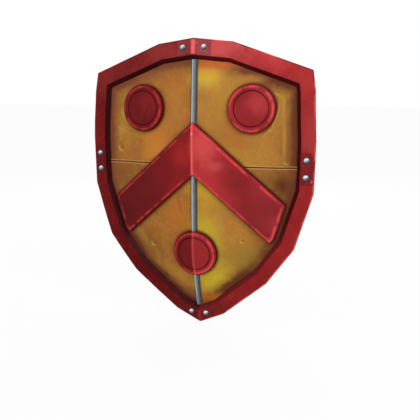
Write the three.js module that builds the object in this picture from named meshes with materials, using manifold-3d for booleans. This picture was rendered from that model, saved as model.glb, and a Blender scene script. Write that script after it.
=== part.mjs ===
// Heater shield with a folded front: gilded plates and raised charges in a red steel rim, on wooden boards.
//
// Frame: millimetres, +Z up. The front faces -Y, and +X is to the right as the front is seen. The origin
// lies on the crown of the arm pad at the ridge, where the forearm holds the shield.
//
// Every piece is drawn flat first, with y = 0 at the rim's front face and +y towards the back. It is then
// bent to the shield's form: the fold at the ridge, the lean of the top and the sweep of the lower half.

import * as THREE from 'three';
import { mergeVertices } from 'three/addons/utils/BufferGeometryUtils.js';
import Module from 'manifold-3d';

const wasm = await Module();
wasm.setup();

// Driving dimensions, in mm.

// Size of the front: from the line of the forearm up to the top of the ridge, down to the point, and from the
// ridge out to either side.
const topHeight = 348.5;
const pointDrop = 371.5;
const halfWidth = 294;

// Outline of one half, from the top of the ridge to the point: each corner's reach as a share of the half
// width, and its height as a share of the height above the line of the forearm, or of the drop below it.
const outlineShares = [
  { reach: 0, height: 1 },
  { reach: 0.327, height: 0.97 },
  { reach: 0.956, height: 0.78 },
  { reach: 0.98, height: 0.643 },
  { reach: 1, height: 0.31 },
  { reach: 0.993, drop: 0.032 },
  { reach: 0.847, drop: 0.404 },
  { reach: 0.612, drop: 0.657 },
  { reach: 0.218, drop: 0.92 },
  { reach: 0, drop: 1 },
];

// Form: how far the sides, the top and the point lie behind the straight middle of the ridge.
const sideSetback = 36;
const topSetback = 12;
const pointSetback = 51;
const leanHeight = 150;
const sweepDrop = 80;
const sweepBends = 8;

// Clearance between pieces that touch, and the overrun of cutting tools.
const seat = 0.3;
const overrun = 20;
const curveSteps = 6;

// Corners nearer to each other than this are one corner.
const snap = 0.002;
const merge = snap / 10;

// Board: planks under gilded plates.
const plateThickness = 1.5;
const plateEdge = 0.5;
const boardThickness = 12;
const boardEdge = 1.2;
const plankShare = 0.544;
const seamHeight = 46;
const seamGap = 0.8;

// Rim: a heavy front bar with a thin outer lip, a wall set in behind the lip round the edge of the boards,
// and a flange behind them.
const rimWidth = 33;
const rimTopWidth = 38;
const rimProud = 12;
const rimBevel = 10;
const rimEdge = 1.6;
const rimLip = 6;
const rimSetIn = 8;
const rimWall = 3;
const rimSheet = 2.5;
const flangeWidth = 32;

// Covers over the rim's joints, at the ridge and at the seam.
const coverThickness = 1.4;
const coverBevel = 0.45;
const coverMargin = 1.8;
const coverTopReach = 43;
const coverPointReach = 36;
const coverSideReach = 37;

// Rivets through the rim.
const rivetHeadRadius = 6.8;
const rivetHeadHeight = 5;
const rivetShankRadius = 3;
const rivetTailRadius = 5.2;
const rivetTailDepth = 1.6;
const rivetInset = 19;
const rivetTopReach = 27;
const rivetPointReach = 20;
const rivetSidePitch = 40;
const rivetSides = 12;
const domeSteps = 3;

// Half-round strip on the ridge.
const stripRadius = 6.8;
const stripSides = 8;

// Raised charges: a chevron between three roundels, each held by cast studs peened over roves.
const reliefThickness = 14;
const reliefBevel = 4;
const reliefBevelSteps = 3;
const chevronApexHeight = 152;
const chevronThroatHeight = 22;
const chevronSlopeShare = 0.85;
const chevronMargin = 9;
const chevronInnerStudReach = 44;
const chevronInnerStudInset = 24;
const chevronOuterStudShare = 0.633;
const roundelRadius = 58;
const roundelCrown = 3;
const roundelShoulderShare = 0.75;
const roundelRing = 9;
const roundelGroove = 2;
const roundelSides = 32;
const roundelReachShare = 0.483;
const roundelHeightShare = 0.528;
const roundelDropShare = 0.474;
const studRadius = 3.5;
const studTail = 1.5;
const roveRadius = 9;
const roveThickness = 2;
const studSides = 12;

// Arm pad: a stuffed leather cushion with sewn channels, one of them along the ridge line.
const padOffset = 38;
const padWidth = 190;
const padHeight = 148;
const padCrown = 22;
const padSide = 12;
const padTuck = 3;
const padRoundingShare = 0.55;
const padFacesAcross = 35;
const padFacesUp = 10;
const channelPitch = 38;
const channelDepth = 6;
const channelWidth = 7;

// Arm strap and hand grip: leather bands that arch from the boards, with steel plates on their feet.
const armStrap = { centre: 100, width: 46, thickness: 4, span: 224, rise: 98, foot: 36, rivetOffset: 11.5 };
const handGrip = { centre: -112, width: 30, thickness: 5, span: 140, rise: 56, foot: 34, rivetOffset: 7.5 };
const archFootShare = 0.55;
const archCrownShare = 0.95;
const strapSteps = 10;
const sleeveWall = 3;
const sleeveRun = 74;
const footPlateThickness = 2;
const footPlateMargin = 3;
const footPlateBevel = 0.5;
const strapRivetHeadRadius = 5;
const strapRivetHeadHeight = 3;
const strapRivetShankRadius = 2.2;
const strapRivetSinkRadius = 4;
const strapRivetSink = 2;
const strapRivetSides = 10;

// Carrying rings in eyes on the back.
const ringInset = 98;
const ringHeight = 118;
const ringRadius = 20;
const ringWire = 2.6;
const ringSides = 8;
const ringSteps = 24;
const eyeBaseRadius = 14;
const eyeBaseThickness = 2.5;
const eyeStandoff = 10;
const eyeThickness = 5;
const eyeRadius = 8;
const eyeHole = 3.7;
const eyeShankRadius = 3.5;
const eyeSinkRadius = 5.5;
const eyeSides = 16;
const lugSteps = 8;

// Levels through the thickness, from the rim's front face towards the back.

const plateFront = rimProud;
const plateBack = plateFront + plateThickness;
const boardFront = plateBack + seat;
const boardBack = boardFront + boardThickness;
const flangeFront = boardBack + seat;
const flangeBack = flangeFront + rimSheet;
const reliefBack = plateFront - seat;
const reliefFront = reliefBack - reliefThickness;
const holdDepth = boardBack + seat + padCrown;

// Places that follow the outline or the planks.
const roundelReach = roundelReachShare * halfWidth;
const roundelHeight = roundelHeightShare * topHeight;
const roundelDrop = roundelDropShare * pointDrop;
const chevronOuterStudReach = chevronOuterStudShare * halfWidth;
const plankWidth = plankShare * halfWidth;
const ringReach = halfWidth - ringInset;

// How far inside the outline the boards end, in the channel of the rim.
const channelInset = rimSetIn + rimWall;

// Solids.

// A closed solid from a geometry, with its faces turned outwards.
function solid(geometry) {
  const bare = geometry.clone();
  bare.deleteAttribute('normal');
  bare.deleteAttribute('uv');
  const merged = mergeVertices(bare, merge);
  const points = merged.attributes.position;
  const triangles = Uint32Array.from(merged.index.array);
  const a = new THREE.Vector3();
  const b = new THREE.Vector3();
  const c = new THREE.Vector3();
  let volume = 0;
  for (let i = 0; i < triangles.length; i += 3) {
    a.fromBufferAttribute(points, triangles[i]);
    b.fromBufferAttribute(points, triangles[i + 1]);
    c.fromBufferAttribute(points, triangles[i + 2]);
    volume += a.dot(b.cross(c));
  }
  if (volume < 0) triangles.reverse();
  const mesh = new wasm.Mesh({
    numProp: 3,
    vertProperties: Float32Array.from(points.array),
    triVerts: triangles,
  });
  return new wasm.Manifold(mesh);
}

// A flat piece: a shape in the XZ plane, from its front to its back level. A bevel rounds both faces' edges.
function plate(shape, front, back, bevel = 0, bevelSteps = 1) {
  const geometry = new THREE.ExtrudeGeometry(shape, {
    depth: back - front - 2 * bevel,
    bevelEnabled: bevel > 0,
    bevelThickness: bevel,
    bevelSize: bevel,
    bevelOffset: -bevel,
    bevelSegments: bevelSteps,
    curveSegments: curveSteps,
  });
  return solid(geometry.rotateX(Math.PI / 2).translate(0, back - bevel, 0));
}

// A rectangle between two corners.
function rectangle(left, right, bottom, top) {
  return new THREE.Shape([
    new THREE.Vector2(left, bottom),
    new THREE.Vector2(right, bottom),
    new THREE.Vector2(right, top),
    new THREE.Vector2(left, top),
  ]);
}

// A turned piece: a profile of [radius, depth] points about an axis along Y at x, z.
function turned(profile, x, z, sides) {
  const points = profile.map(([radius, depth]) => new THREE.Vector2(radius, depth));
  return solid(new THREE.LatheGeometry(points, sides).translate(x, 0, z));
}

// A round tool along Y, for a hole.
function drill(x, z, radius, front, back, sides) {
  return turned([[0, front], [radius, front], [radius, back], [0, back]], x, z, sides);
}

// The same solid on the other side of the ridge.
function mirrored(piece) {
  const mesh = piece.getMesh();
  const points = Float32Array.from(mesh.vertProperties, (value, i) => (i % 3 === 0 ? -value : value));
  const triangles = Uint32Array.from(mesh.triVerts).reverse();
  return new wasm.Manifold(new wasm.Mesh({ numProp: 3, vertProperties: points, triVerts: triangles }));
}

// The bend.

// Keel: the ridge's setback at each bend line, from the top to the point.
const keel = [
  { height: topHeight, setback: topSetback },
  { height: leanHeight, setback: 0 },
];
for (let i = 0; i <= sweepBends; i++) {
  const share = i / sweepBends;
  keel.push({
    height: -sweepDrop - share * (pointDrop - sweepDrop),
    setback: pointSetback * share * share,
  });
}

// How far a point of the flat drawing lies back once the shield is bent.
function form(x, z) {
  let i = 0;
  while (i + 2 < keel.length && z < keel[i + 1].height) i++;
  const from = keel[i];
  const to = keel[i + 1];
  const share = (from.height - z) / (from.height - to.height);
  return THREE.MathUtils.lerp(from.setback, to.setback, share) + sideSetback * Math.abs(x) / halfWidth;
}

// The parts of a solid on either side of each level along one axis, as far as the solid reaches.
function slices(piece, axis, levels) {
  const box = piece.boundingBox();
  const [low, high] = [box.min[axis], box.max[axis]];
  const within = levels.filter((level) => level > low + seat && level < high - seat).sort((a, b) => a - b);
  const stops = [low - overrun, ...within, high + overrun];
  return stops.slice(1).map((stop, i) => {
    const slab = { low: [...box.min].map((v) => v - overrun), high: [...box.max].map((v) => v + overrun) };
    slab.low[axis] = stops[i];
    slab.high[axis] = stop;
    const size = slab.high.map((v, k) => v - slab.low[k]);
    const middle = slab.high.map((v, k) => (v + slab.low[k]) / 2);
    return piece.intersect(solid(new THREE.BoxGeometry(...size).translate(...middle)));
  });
}

// Splits triangles along the cuts, wherever a corner of the slice beyond the cut lies on their edge.
function stitched(triangles, corners) {
  const onEdge = (p, v, q) => {
    const along = q.clone().sub(p);
    const reach = v.clone().sub(p).dot(along) / along.lengthSq();
    return reach > 0 && reach < 1 && v !== p && v !== q
      && p.clone().addScaledVector(along, reach).distanceTo(v) < snap;
  };
  const out = [];
  const waiting = [...triangles];
  while (waiting.length > 0) {
    const [a, b, c] = waiting.pop();
    const sides = [[a, b, c], [b, c, a], [c, a, b]];
    const hit = sides.map(([p, q]) => corners.find((v) => onEdge(p, v, q)));
    const side = hit.findIndex((v) => v !== undefined);
    if (side < 0) {
      out.push([a, b, c]);
    } else {
      const [p, q, r] = sides[side];
      waiting.push([p, hit[side], r], [hit[side], q, r]);
    }
  }
  return out;
}

// The finished geometry of a flat solid, bent to the shield's form. It is cut at the ridge and at every
// bend line, each slice is bent by itself, and the slices join again without the faces of the cuts.
function bent(piece) {
  const bends = keel.slice(1, -1).map((bend) => bend.height);
  const cutsAt = (v) => [Math.abs(v.x) < snap, ...bends.map((level) => Math.abs(v.z - level) < snap)];
  const corners = [];
  const triangles = [];
  for (const slice of slices(piece, 2, bends).flatMap((band) => slices(band, 0, [0]))) {
    const mesh = slice.getMesh();
    const points = [];
    for (let i = 0; i < mesh.vertProperties.length; i += mesh.numProp) {
      let point = new THREE.Vector3().fromArray(mesh.vertProperties, i);
      if (cutsAt(point).includes(true)) {
        const known = corners.find((v) => v.distanceTo(point) < snap);
        if (known) point = known;
        else corners.push(point);
      }
      points.push(point);
    }
    for (let i = 0; i < mesh.triVerts.length; i += 3) {
      const triangle = [0, 1, 2].map((k) => points[mesh.triVerts[i + k]]);
      const cuts = triangle.map(cutsAt);
      const inCut = cuts[0].some((_, k) => cuts.every((on) => on[k]));
      if (!inCut && new Set(triangle).size === 3) triangles.push(triangle);
    }
  }
  const bentPoints = stitched(triangles, corners).flat()
    .map((p) => new THREE.Vector3(p.x, p.y + form(p.x, p.z), p.z));
  const geometry = mergeVertices(new THREE.BufferGeometry().setFromPoints(bentPoints), merge);
  geometry.computeVertexNormals();
  return geometry;
}

// Outline.

const outline = outlineShares.map(({ reach, height, drop }) => new THREE.Vector2(
  reach * halfWidth,
  height === undefined ? -drop * pointDrop : height * topHeight,
));

// The first stretches, as far as the corner, belong to the top bar.
const topStretches = 2;

// Where two lines meet, each given by a point and a direction.
function meet(line, other) {
  const reach = other.at.clone().sub(line.at).cross(other.along) / line.along.cross(other.along);
  return line.at.clone().addScaledVector(line.along, reach);
}

// The half outline moved inwards by insetOf(stretch), from ridge to ridge. ridgeGap keeps it off the ridge.
function insetOutline(insetOf, ridgeGap) {
  const ridge = { at: new THREE.Vector2(ridgeGap, 0), along: new THREE.Vector2(0, 1) };
  const lines = [ridge];
  for (let i = 0; i + 1 < outline.length; i++) {
    const along = outline[i + 1].clone().sub(outline[i]).normalize();
    const inwards = new THREE.Vector2(along.y, -along.x);
    lines.push({ at: outline[i].clone().addScaledVector(inwards, insetOf(i)), along });
  }
  lines.push(ridge);
  return lines.slice(1).map((line, i) => meet(lines[i], line));
}

// The width of the rim's front bar along one stretch, and the height of an inset outline at a given reach.
const barWidth = (stretch) => (stretch < topStretches ? rimTopWidth : rimWidth);

function heightAt(path, reach, atPoint) {
  const order = atPoint ? [...path].reverse() : path;
  const next = order.findIndex((p) => p.x > reach);
  const share = (reach - order[next - 1].x) / (order[next].x - order[next - 1].x);
  return THREE.MathUtils.lerp(order[next - 1].y, order[next].y, share);
}

// The outline's reach at a given height of its sides.
function reachAt(path, height) {
  const next = path.findIndex((p) => p.y < height);
  const share = (path[next - 1].y - height) / (path[next - 1].y - path[next].y);
  return THREE.MathUtils.lerp(path[next - 1].x, path[next].x, share);
}

// Fixings: where each one goes through the boards.

const rivetLine = insetOutline(() => rivetInset, 0);
const rimRivets = {
  top: [rivetTopReach, heightAt(rivetLine, rivetTopReach, false)],
  side_upper: [reachAt(rivetLine, seamHeight + rivetSidePitch / 2), seamHeight + rivetSidePitch / 2],
  side_lower: [reachAt(rivetLine, seamHeight - rivetSidePitch / 2), seamHeight - rivetSidePitch / 2],
  bottom: [rivetPointReach, heightAt(rivetLine, rivetPointReach, true)],
};

// The inner studs sit close under the chevron's upper edge, clear of the arm pad behind them, and the outer
// ones on its middle line.
const chevronMiddle = (chevronApexHeight + chevronThroatHeight) / 2;
const chevronStuds = [
  [
    chevronInnerStudReach,
    chevronApexHeight - chevronSlopeShare * chevronInnerStudReach - chevronInnerStudInset,
  ],
  [chevronOuterStudReach, chevronMiddle - chevronSlopeShare * chevronOuterStudReach],
];

function feet(strap) {
  const out = (strap.span + strap.foot) / 2;
  const apart = strap.rivetOffset;
  return [out, -out].flatMap((z) => [[strap.centre - apart, z], [strap.centre + apart, z]]);
}

const strapRivets = [...feet(armStrap), ...feet(handGrip)];

// Rim.

// Section of the rim: inset from the outer edge, and depth.
function rimSection(width) {
  return [
    new THREE.Vector2(rimEdge, 0),
    new THREE.Vector2(width, 0),
    new THREE.Vector2(width + rimBevel, plateFront - seat),
    new THREE.Vector2(channelInset, plateFront - seat),
    new THREE.Vector2(channelInset, flangeFront),
    new THREE.Vector2(flangeWidth, flangeFront),
    new THREE.Vector2(flangeWidth, flangeBack),
    new THREE.Vector2(rimSetIn + rimEdge, flangeBack),
    new THREE.Vector2(rimSetIn, flangeBack - rimEdge),
    new THREE.Vector2(rimSetIn, rimLip + rimSetIn),
    new THREE.Vector2(0, rimLip),
    new THREE.Vector2(0, rimEdge),
  ];
}

// The rim of one half, its section swept along the outline with mitred corners.
function halfRim() {
  const section = rimSection(rimWidth);
  const paths = section.map((_, k) => insetOutline((i) => rimSection(barWidth(i))[k].x, seat / 2));
  const points = [];
  for (let corner = 0; corner < outline.length; corner++) {
    paths.forEach((path, k) => points.push(new THREE.Vector3(path[corner].x, section[k].y, path[corner].y)));
  }
  const around = section.length;
  const last = points.length - around;
  const index = [];
  for (let ring = 0; ring < last; ring += around) {
    for (let k = 0; k < around; k++) {
      const next = (k + 1) % around;
      index.push(ring + k, ring + next, ring + around + next);
      index.push(ring + k, ring + around + next, ring + around + k);
    }
  }
  for (const [a, b, c] of THREE.ShapeUtils.triangulateShape(section, [])) {
    index.push(c, b, a, last + a, last + b, last + c);
  }
  const geometry = new THREE.BufferGeometry().setFromPoints(points);
  geometry.setIndex(index);
  return solid(geometry);
}

// Cutting blocks above and below the seam.
const beyond = topHeight + pointDrop;
const depthRange = [reliefFront - overrun, flangeBack + overrun];
const above = plate(rectangle(-beyond, beyond, seamHeight + seamGap / 2, beyond), ...depthRange);
const below = plate(rectangle(-beyond, beyond, -beyond, seamHeight - seamGap / 2), ...depthRange);

// Holes for the fixings of one half, between two levels.
function rimRivetHoles(piece) {
  let out = piece;
  for (const [x, z] of Object.values(rimRivets)) {
    out = out.subtract(drill(x, z, rivetShankRadius + seat, ...depthRange, rivetSides));
  }
  return out;
}

// The flange's holes are countersunk for the rivets' tails.
function rimSinks(piece) {
  let out = piece;
  for (const [x, z] of Object.values(rimRivets)) {
    const top = flangeBack - seat;
    const profile = [
      [0, top - rivetTailDepth],
      [rivetShankRadius + seat, top - rivetTailDepth],
      [rivetTailRadius + seat, top],
      [rivetTailRadius + seat, flangeBack + overrun],
      [0, flangeBack + overrun],
    ];
    out = out.subtract(turned(profile, x, z, rivetSides));
  }
  return out;
}

const rim = rimSinks(rimRivetHoles(halfRim()));

// Covers over the joints of the rim.

// A cover follows the front bar, a margin inside its edges.
const barOuter = insetOutline(() => rimEdge + coverMargin, 0);
const barInner = insetOutline((stretch) => barWidth(stretch) - coverMargin, 0);
const coverBack = -seat;
const coverFront = coverBack - coverThickness;

function ridgeCover(reach, atPoint) {
  const outer = new THREE.Vector2(0, atPoint ? barOuter.at(-1).y : barOuter[0].y);
  const inner = new THREE.Vector2(0, atPoint ? barInner.at(-1).y : barInner[0].y);
  const shape = new THREE.Shape([
    outer,
    new THREE.Vector2(reach, heightAt(barOuter, reach, atPoint)),
    new THREE.Vector2(reach, heightAt(barInner, reach, atPoint)),
    inner,
    new THREE.Vector2(-reach, heightAt(barInner, reach, atPoint)),
    new THREE.Vector2(-reach, heightAt(barOuter, reach, atPoint)),
  ]);
  return plate(shape, coverFront, coverBack, coverBevel);
}

function sideCover() {
  const corners = [seamHeight + coverSideReach, seamHeight - coverSideReach];
  const shape = new THREE.Shape([
    ...corners.map((z) => new THREE.Vector2(reachAt(barOuter, z), z)),
    ...corners.reverse().map((z) => new THREE.Vector2(reachAt(barInner, z), z)),
  ]);
  return plate(shape, coverFront, coverBack, coverBevel);
}

function withMirroredHoles(piece, holes, radius, sides) {
  let out = piece;
  for (const [x, z] of holes) {
    for (const side of x === 0 ? [1] : [1, -1]) {
      out = out.subtract(drill(side * x, z, radius, ...depthRange, sides));
    }
  }
  return out;
}

const coverHoles = Object.values(rimRivets);
const coverHoleRadius = rivetShankRadius + seat;
const riveted = (piece) => withMirroredHoles(piece, coverHoles, coverHoleRadius, rivetSides);
const topCover = riveted(ridgeCover(coverTopReach, false));
const pointCover = riveted(ridgeCover(coverPointReach, true));
const rightCover = rimRivetHoles(sideCover());

// Rivets of the rim.

// A domed head on the cover, a shank through everything, and a tail peened flush into the flange.
function rimRivet([x, z]) {
  const under = coverFront - seat;
  const profile = [[0, under - rivetHeadHeight]];
  for (let i = 1; i <= domeSteps; i++) {
    const turn = (i / domeSteps) * (Math.PI / 2);
    profile.push([rivetHeadRadius * Math.sin(turn), under - rivetHeadHeight * Math.cos(turn)]);
  }
  const tail = flangeBack - seat;
  profile.push([rivetShankRadius, under], [rivetShankRadius, tail - rivetTailDepth]);
  profile.push([rivetTailRadius, tail], [0, tail]);
  return turned(profile, x, z, rivetSides);
}

// Gilded plates and boards.

const boardOutline = insetOutline(() => channelInset + seat, 0);
const allStuds = [...chevronStuds, [roundelReach, roundelHeight]];

// Everything between two levels inside the rim's wall, on the right half.
function halfPanel(front, back) {
  return plate(new THREE.Shape(boardOutline), front, back);
}

// One gilded plate: the part of the panel inside a block with softened edges.
function gildedPlate(bottom, top) {
  const block = plate(rectangle(seat / 2, beyond, bottom, top), plateFront, plateBack, plateEdge);
  let out = rimRivetHoles(halfPanel(plateFront - overrun, plateBack + overrun).intersect(block));
  for (const [x, z] of [...allStuds, [0, -roundelDrop]]) {
    out = out.subtract(drill(x, z, studRadius + seat, ...depthRange, studSides));
  }
  return out;
}

// One plank, between two reaches from the ridge.
function plank(from, to, side) {
  const edge = rectangle(from + seat / 2, to - seat / 2, -beyond, beyond);
  const block = plate(edge, boardFront, boardBack, boardEdge);
  let out = rimRivetHoles(halfPanel(boardFront - overrun, boardBack + overrun).intersect(block));
  for (const [x, z] of [...allStuds, [0, -roundelDrop]]) {
    out = out.subtract(drill(x, z, studRadius + seat, ...depthRange, studSides));
  }
  for (const [x, z] of strapRivets) {
    if (Math.sign(x) !== side) continue;
    const reach = Math.abs(x);
    const sink = boardFront + strapRivetSink + seat;
    out = out.subtract(drill(reach, z, strapRivetShankRadius + seat, ...depthRange, strapRivetSides));
    out = out.subtract(drill(reach, z, strapRivetSinkRadius + seat, depthRange[0], sink, strapRivetSides));
  }
  const eyeSink = boardFront + strapRivetSink + seat;
  out = out.subtract(drill(ringReach, ringHeight, eyeShankRadius + seat, ...depthRange, studSides));
  out = out.subtract(drill(ringReach, ringHeight, eyeSinkRadius + seat, depthRange[0], eyeSink, studSides));
  return out;
}

// Ridge strip.

const barFoot = insetOutline((stretch) => barWidth(stretch) + rimBevel, 0);
const stripTop = heightAt(barFoot, stripRadius, false) - seat;
const stripBottom = heightAt(barFoot, stripRadius, true) + seat;

// A half-round bar along Z, its flat side at the given depth.
function halfRound(radius, back, bottom, top) {
  const shape = new THREE.Shape();
  for (let i = 0; i <= stripSides; i++) {
    const turn = (i / stripSides) * Math.PI;
    const point = new THREE.Vector2(radius * Math.cos(turn), back - radius * Math.sin(turn));
    if (i === 0) shape.moveTo(point.x, point.y);
    else shape.lineTo(point.x, point.y);
  }
  const geometry = new THREE.ExtrudeGeometry(shape, { depth: top - bottom, bevelEnabled: false });
  return solid(geometry.translate(0, 0, bottom));
}

const lowerStud = drill(0, -roundelDrop, studRadius + seat, ...depthRange, studSides);
const strip = halfRound(stripRadius, reliefBack, stripBottom, stripTop).subtract(lowerStud);

// The channel in the back of whatever lies over the strip.
const stripChannel = halfRound(stripRadius + seat, reliefBack, -beyond, beyond)
  .add(plate(rectangle(-stripRadius - seat, stripRadius + seat, -beyond, beyond), reliefBack, depthRange[1]));

// Charges.

// A stud from the back of a charge through plate and board, peened over its rove.
function stud(x, z) {
  const end = boardBack + seat + roveThickness + studTail;
  return drill(x, z, studRadius, reliefBack - reliefThickness / 2, end, studSides);
}

function rove(x, z) {
  const front = boardBack + seat;
  const hole = studRadius + seat;
  const back = front + roveThickness;
  const profile = [[hole, front], [roveRadius, front], [roveRadius - roveThickness / 2, back], [hole, back]];
  return turned([...profile, [hole, front]], x, z, studSides);
}

// One end of the chevron: it stops a margin inside the foot of the rim, parallel to it.
function chevronEnd() {
  const path = insetOutline((stretch) => barWidth(stretch) + rimBevel + chevronMargin, 0);
  const along = new THREE.Vector2(1, -chevronSlopeShare);
  const crossing = (apex) => {
    const next = path.findIndex((p) => p.y < apex - chevronSlopeShare * p.x);
    const edge = { at: path[next - 1], along: path[next].clone().sub(path[next - 1]) };
    return { next, point: meet({ at: new THREE.Vector2(0, apex), along }, edge) };
  };
  const upper = crossing(chevronApexHeight);
  const lower = crossing(chevronThroatHeight);
  return [upper.point, ...path.slice(upper.next, lower.next), lower.point];
}

function chevron() {
  const right = [...chevronEnd(), new THREE.Vector2(0, chevronThroatHeight)];
  const left = right.slice(0, -1).reverse().map((p) => new THREE.Vector2(-p.x, p.y));
  const shape = new THREE.Shape([new THREE.Vector2(0, chevronApexHeight), ...right, ...left]);
  const behind = plate(rectangle(-beyond, beyond, -beyond, beyond), reliefBack, depthRange[1]);
  let out = plate(shape, reliefFront, reliefBack + reliefBevel, reliefBevel, reliefBevelSteps);
  out = out.subtract(behind).subtract(stripChannel);
  for (const [x, z] of chevronStuds) out = out.add(stud(x, z)).add(stud(-x, z));
  return out;
}

// A roundel: a rounded edge, a flat ring, a groove and a shallow crown.
function roundel(x, z) {
  const edge = roundelRadius;
  const crownEdge = edge - reliefBevel - roundelRing - roundelGroove;
  const profile = [
    [0, reliefFront - roundelCrown],
    [crownEdge / 2, reliefFront - roundelShoulderShare * roundelCrown],
    [crownEdge, reliefFront],
    [crownEdge + roundelGroove / 2, reliefFront + roundelGroove],
    [crownEdge + roundelGroove, reliefFront],
    [edge - reliefBevel, reliefFront],
    [edge - reliefBevel * (1 - Math.SQRT1_2), reliefFront + reliefBevel * (1 - Math.SQRT1_2)],
    [edge, reliefFront + reliefBevel],
    [edge, reliefBack],
    [0, reliefBack],
  ];
  return turned(profile, x, z, roundelSides).subtract(stripChannel).add(stud(x, z));
}

// Arm pad.

// How far the pad stands off at u, v from -1 to 1 across it: a crown, lower at the sides, with sewn channels.
function padRise(u, v, x) {
  const crown = (1 - u ** 4) * (1 - v ** 4);
  const fromChannel = x - channelPitch * Math.round(x / channelPitch);
  const channel = channelDepth * Math.exp(-((fromChannel / channelWidth) ** 2));
  return padSide + (padCrown - padSide) * crown - channel * crown;
}

// A point of the pad's plan, with its sides bowed and its corners rounded.
function padPlan(u, v, tuck) {
  const x = padOffset + (padWidth / 2 - tuck) * u * Math.sqrt(1 - padRoundingShare * v * v / 2);
  const z = (padHeight / 2 - tuck) * v * Math.sqrt(1 - padRoundingShare * u * u / 2);
  return new THREE.Vector2(x, z);
}

function armPad() {
  const across = padFacesAcross;
  const up = padFacesUp;
  const base = boardBack + seat;
  const points = [];
  for (let j = 0; j <= up; j++) {
    for (let i = 0; i <= across; i++) {
      const u = (2 * i) / across - 1;
      const v = (2 * j) / up - 1;
      const plan = padPlan(u, v, padTuck);
      points.push(new THREE.Vector3(plan.x, base + padRise(u, v, plan.x), plan.y));
    }
  }
  const index = [];
  const at = (i, j) => j * (across + 1) + i;
  for (let j = 0; j < up; j++) {
    for (let i = 0; i < across; i++) {
      index.push(at(i, j), at(i + 1, j + 1), at(i + 1, j), at(i, j), at(i, j + 1), at(i + 1, j + 1));
    }
  }
  const loop = [];
  for (let i = 0; i < across; i++) loop.push([i, 0]);
  for (let j = 0; j < up; j++) loop.push([across, j]);
  for (let i = across; i > 0; i--) loop.push([i, up]);
  for (let j = up; j > 0; j--) loop.push([0, j]);
  const swell = points.length;
  const foot = swell + loop.length;
  const rings = [[0, padSide / 2], [padTuck, 0]];
  for (const [tuck, rise] of rings) {
    for (const [i, j] of loop) {
      const plan = padPlan((2 * i) / across - 1, (2 * j) / up - 1, tuck);
      points.push(new THREE.Vector3(plan.x, base + rise, plan.y));
    }
  }
  const around = loop.length;
  for (let k = 0; k < around; k++) {
    const next = (k + 1) % around;
    const a = at(...loop[k]);
    const b = at(...loop[next]);
    index.push(a, b, swell + next, a, swell + next, swell + k);
    index.push(swell + k, swell + next, foot + next, swell + k, foot + next, foot + k);
  }
  const plan = points.slice(foot).map((p) => new THREE.Vector2(p.x, p.z));
  for (const [a, b, c] of THREE.ShapeUtils.triangulateShape(plan, [])) {
    index.push(foot + a, foot + b, foot + c);
  }
  const geometry = new THREE.BufferGeometry().setFromPoints(points);
  geometry.setIndex(index);
  return solid(geometry);
}

// Straps.

// The middle line of one strap: a flat foot, an arch, and the other foot, as [height, depth] points.
function strapLine(strap) {
  const half = strap.span / 2;
  const low = boardBack + seat + strap.thickness / 2;
  const high = low + strap.rise;
  const arch = new THREE.CubicBezierCurve(
    new THREE.Vector2(half, low),
    new THREE.Vector2(half * archFootShare, low),
    new THREE.Vector2(half * archCrownShare, high),
    new THREE.Vector2(0, high),
  );
  const right = [new THREE.Vector2(half + strap.foot, low), ...arch.getPoints(strapSteps)];
  const left = right.slice(0, -1).reverse().map((p) => new THREE.Vector2(-p.x, p.y));
  return [...right, ...left];
}

// A band of a given thickness and width about part of a middle line.
function band(line, thickness, width, centre) {
  const offset = (sign) => line.map((p, i) => {
    const before = line[Math.max(i - 1, 0)];
    const after = line[Math.min(i + 1, line.length - 1)];
    const along = after.clone().sub(before).normalize();
    return p.clone().add(new THREE.Vector2(-along.y, along.x).multiplyScalar(sign * thickness / 2));
  });
  const shape = new THREE.Shape([...offset(1), ...offset(-1).reverse()]);
  const geometry = new THREE.ExtrudeGeometry(shape, { depth: width, bevelEnabled: false });
  const axes = new THREE.Matrix4().makeBasis(
    new THREE.Vector3(0, 0, 1),
    new THREE.Vector3(0, 1, 0),
    new THREE.Vector3(1, 0, 0),
  );
  return solid(geometry.applyMatrix4(axes).translate(centre - width / 2, 0, 0));
}

function strapHoles(piece) {
  let out = piece;
  for (const [x, z] of strapRivets) {
    const hole = drill(x, z, strapRivetShankRadius + seat, boardFront, flangeBack + overrun, strapRivetSides);
    out = out.subtract(hole);
  }
  return out;
}

function strapBand(strap) {
  return strapHoles(band(strapLine(strap), strap.thickness, strap.width, strap.centre));
}

// The sleeve sewn round the middle of the hand grip.
function gripSleeve() {
  const line = strapLine(handGrip).filter((p) => Math.abs(p.x) < sleeveRun / 2);
  const thickness = handGrip.thickness + 2 * seat;
  const width = handGrip.width + 2 * seat;
  const outer = band(line, thickness + 2 * sleeveWall, width + 2 * sleeveWall, handGrip.centre);
  return outer.subtract(band(strapLine(handGrip), thickness, width, handGrip.centre));
}

// The steel plate under the rivets of one foot.
function footPlate(strap, end) {
  const front = boardBack + 2 * seat + strap.thickness;
  const half = strap.width / 2 - footPlateMargin;
  const middle = end * (strap.span + strap.foot) / 2;
  const reach = strap.foot / 2 - footPlateMargin;
  const shape = rectangle(strap.centre - half, strap.centre + half, middle - reach, middle + reach);
  return strapHoles(plate(shape, front, front + footPlateThickness, footPlateBevel));
}

// A rivet with its head on the foot plate and its tail sunk in the front of the board.
function strapRivet(strap, x, z) {
  const under = boardBack + 3 * seat + strap.thickness + footPlateThickness;
  const sink = boardFront + strapRivetSink;
  const profile = [
    [0, boardFront],
    [strapRivetSinkRadius, boardFront],
    [strapRivetSinkRadius, sink],
    [strapRivetShankRadius, sink],
    [strapRivetShankRadius, under],
    [strapRivetHeadRadius, under],
    [strapRivetHeadRadius * Math.SQRT1_2, under + strapRivetHeadHeight * Math.SQRT1_2],
    [0, under + strapRivetHeadHeight],
  ];
  return turned(profile, x, z, strapRivetSides);
}

// Rings.

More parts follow.
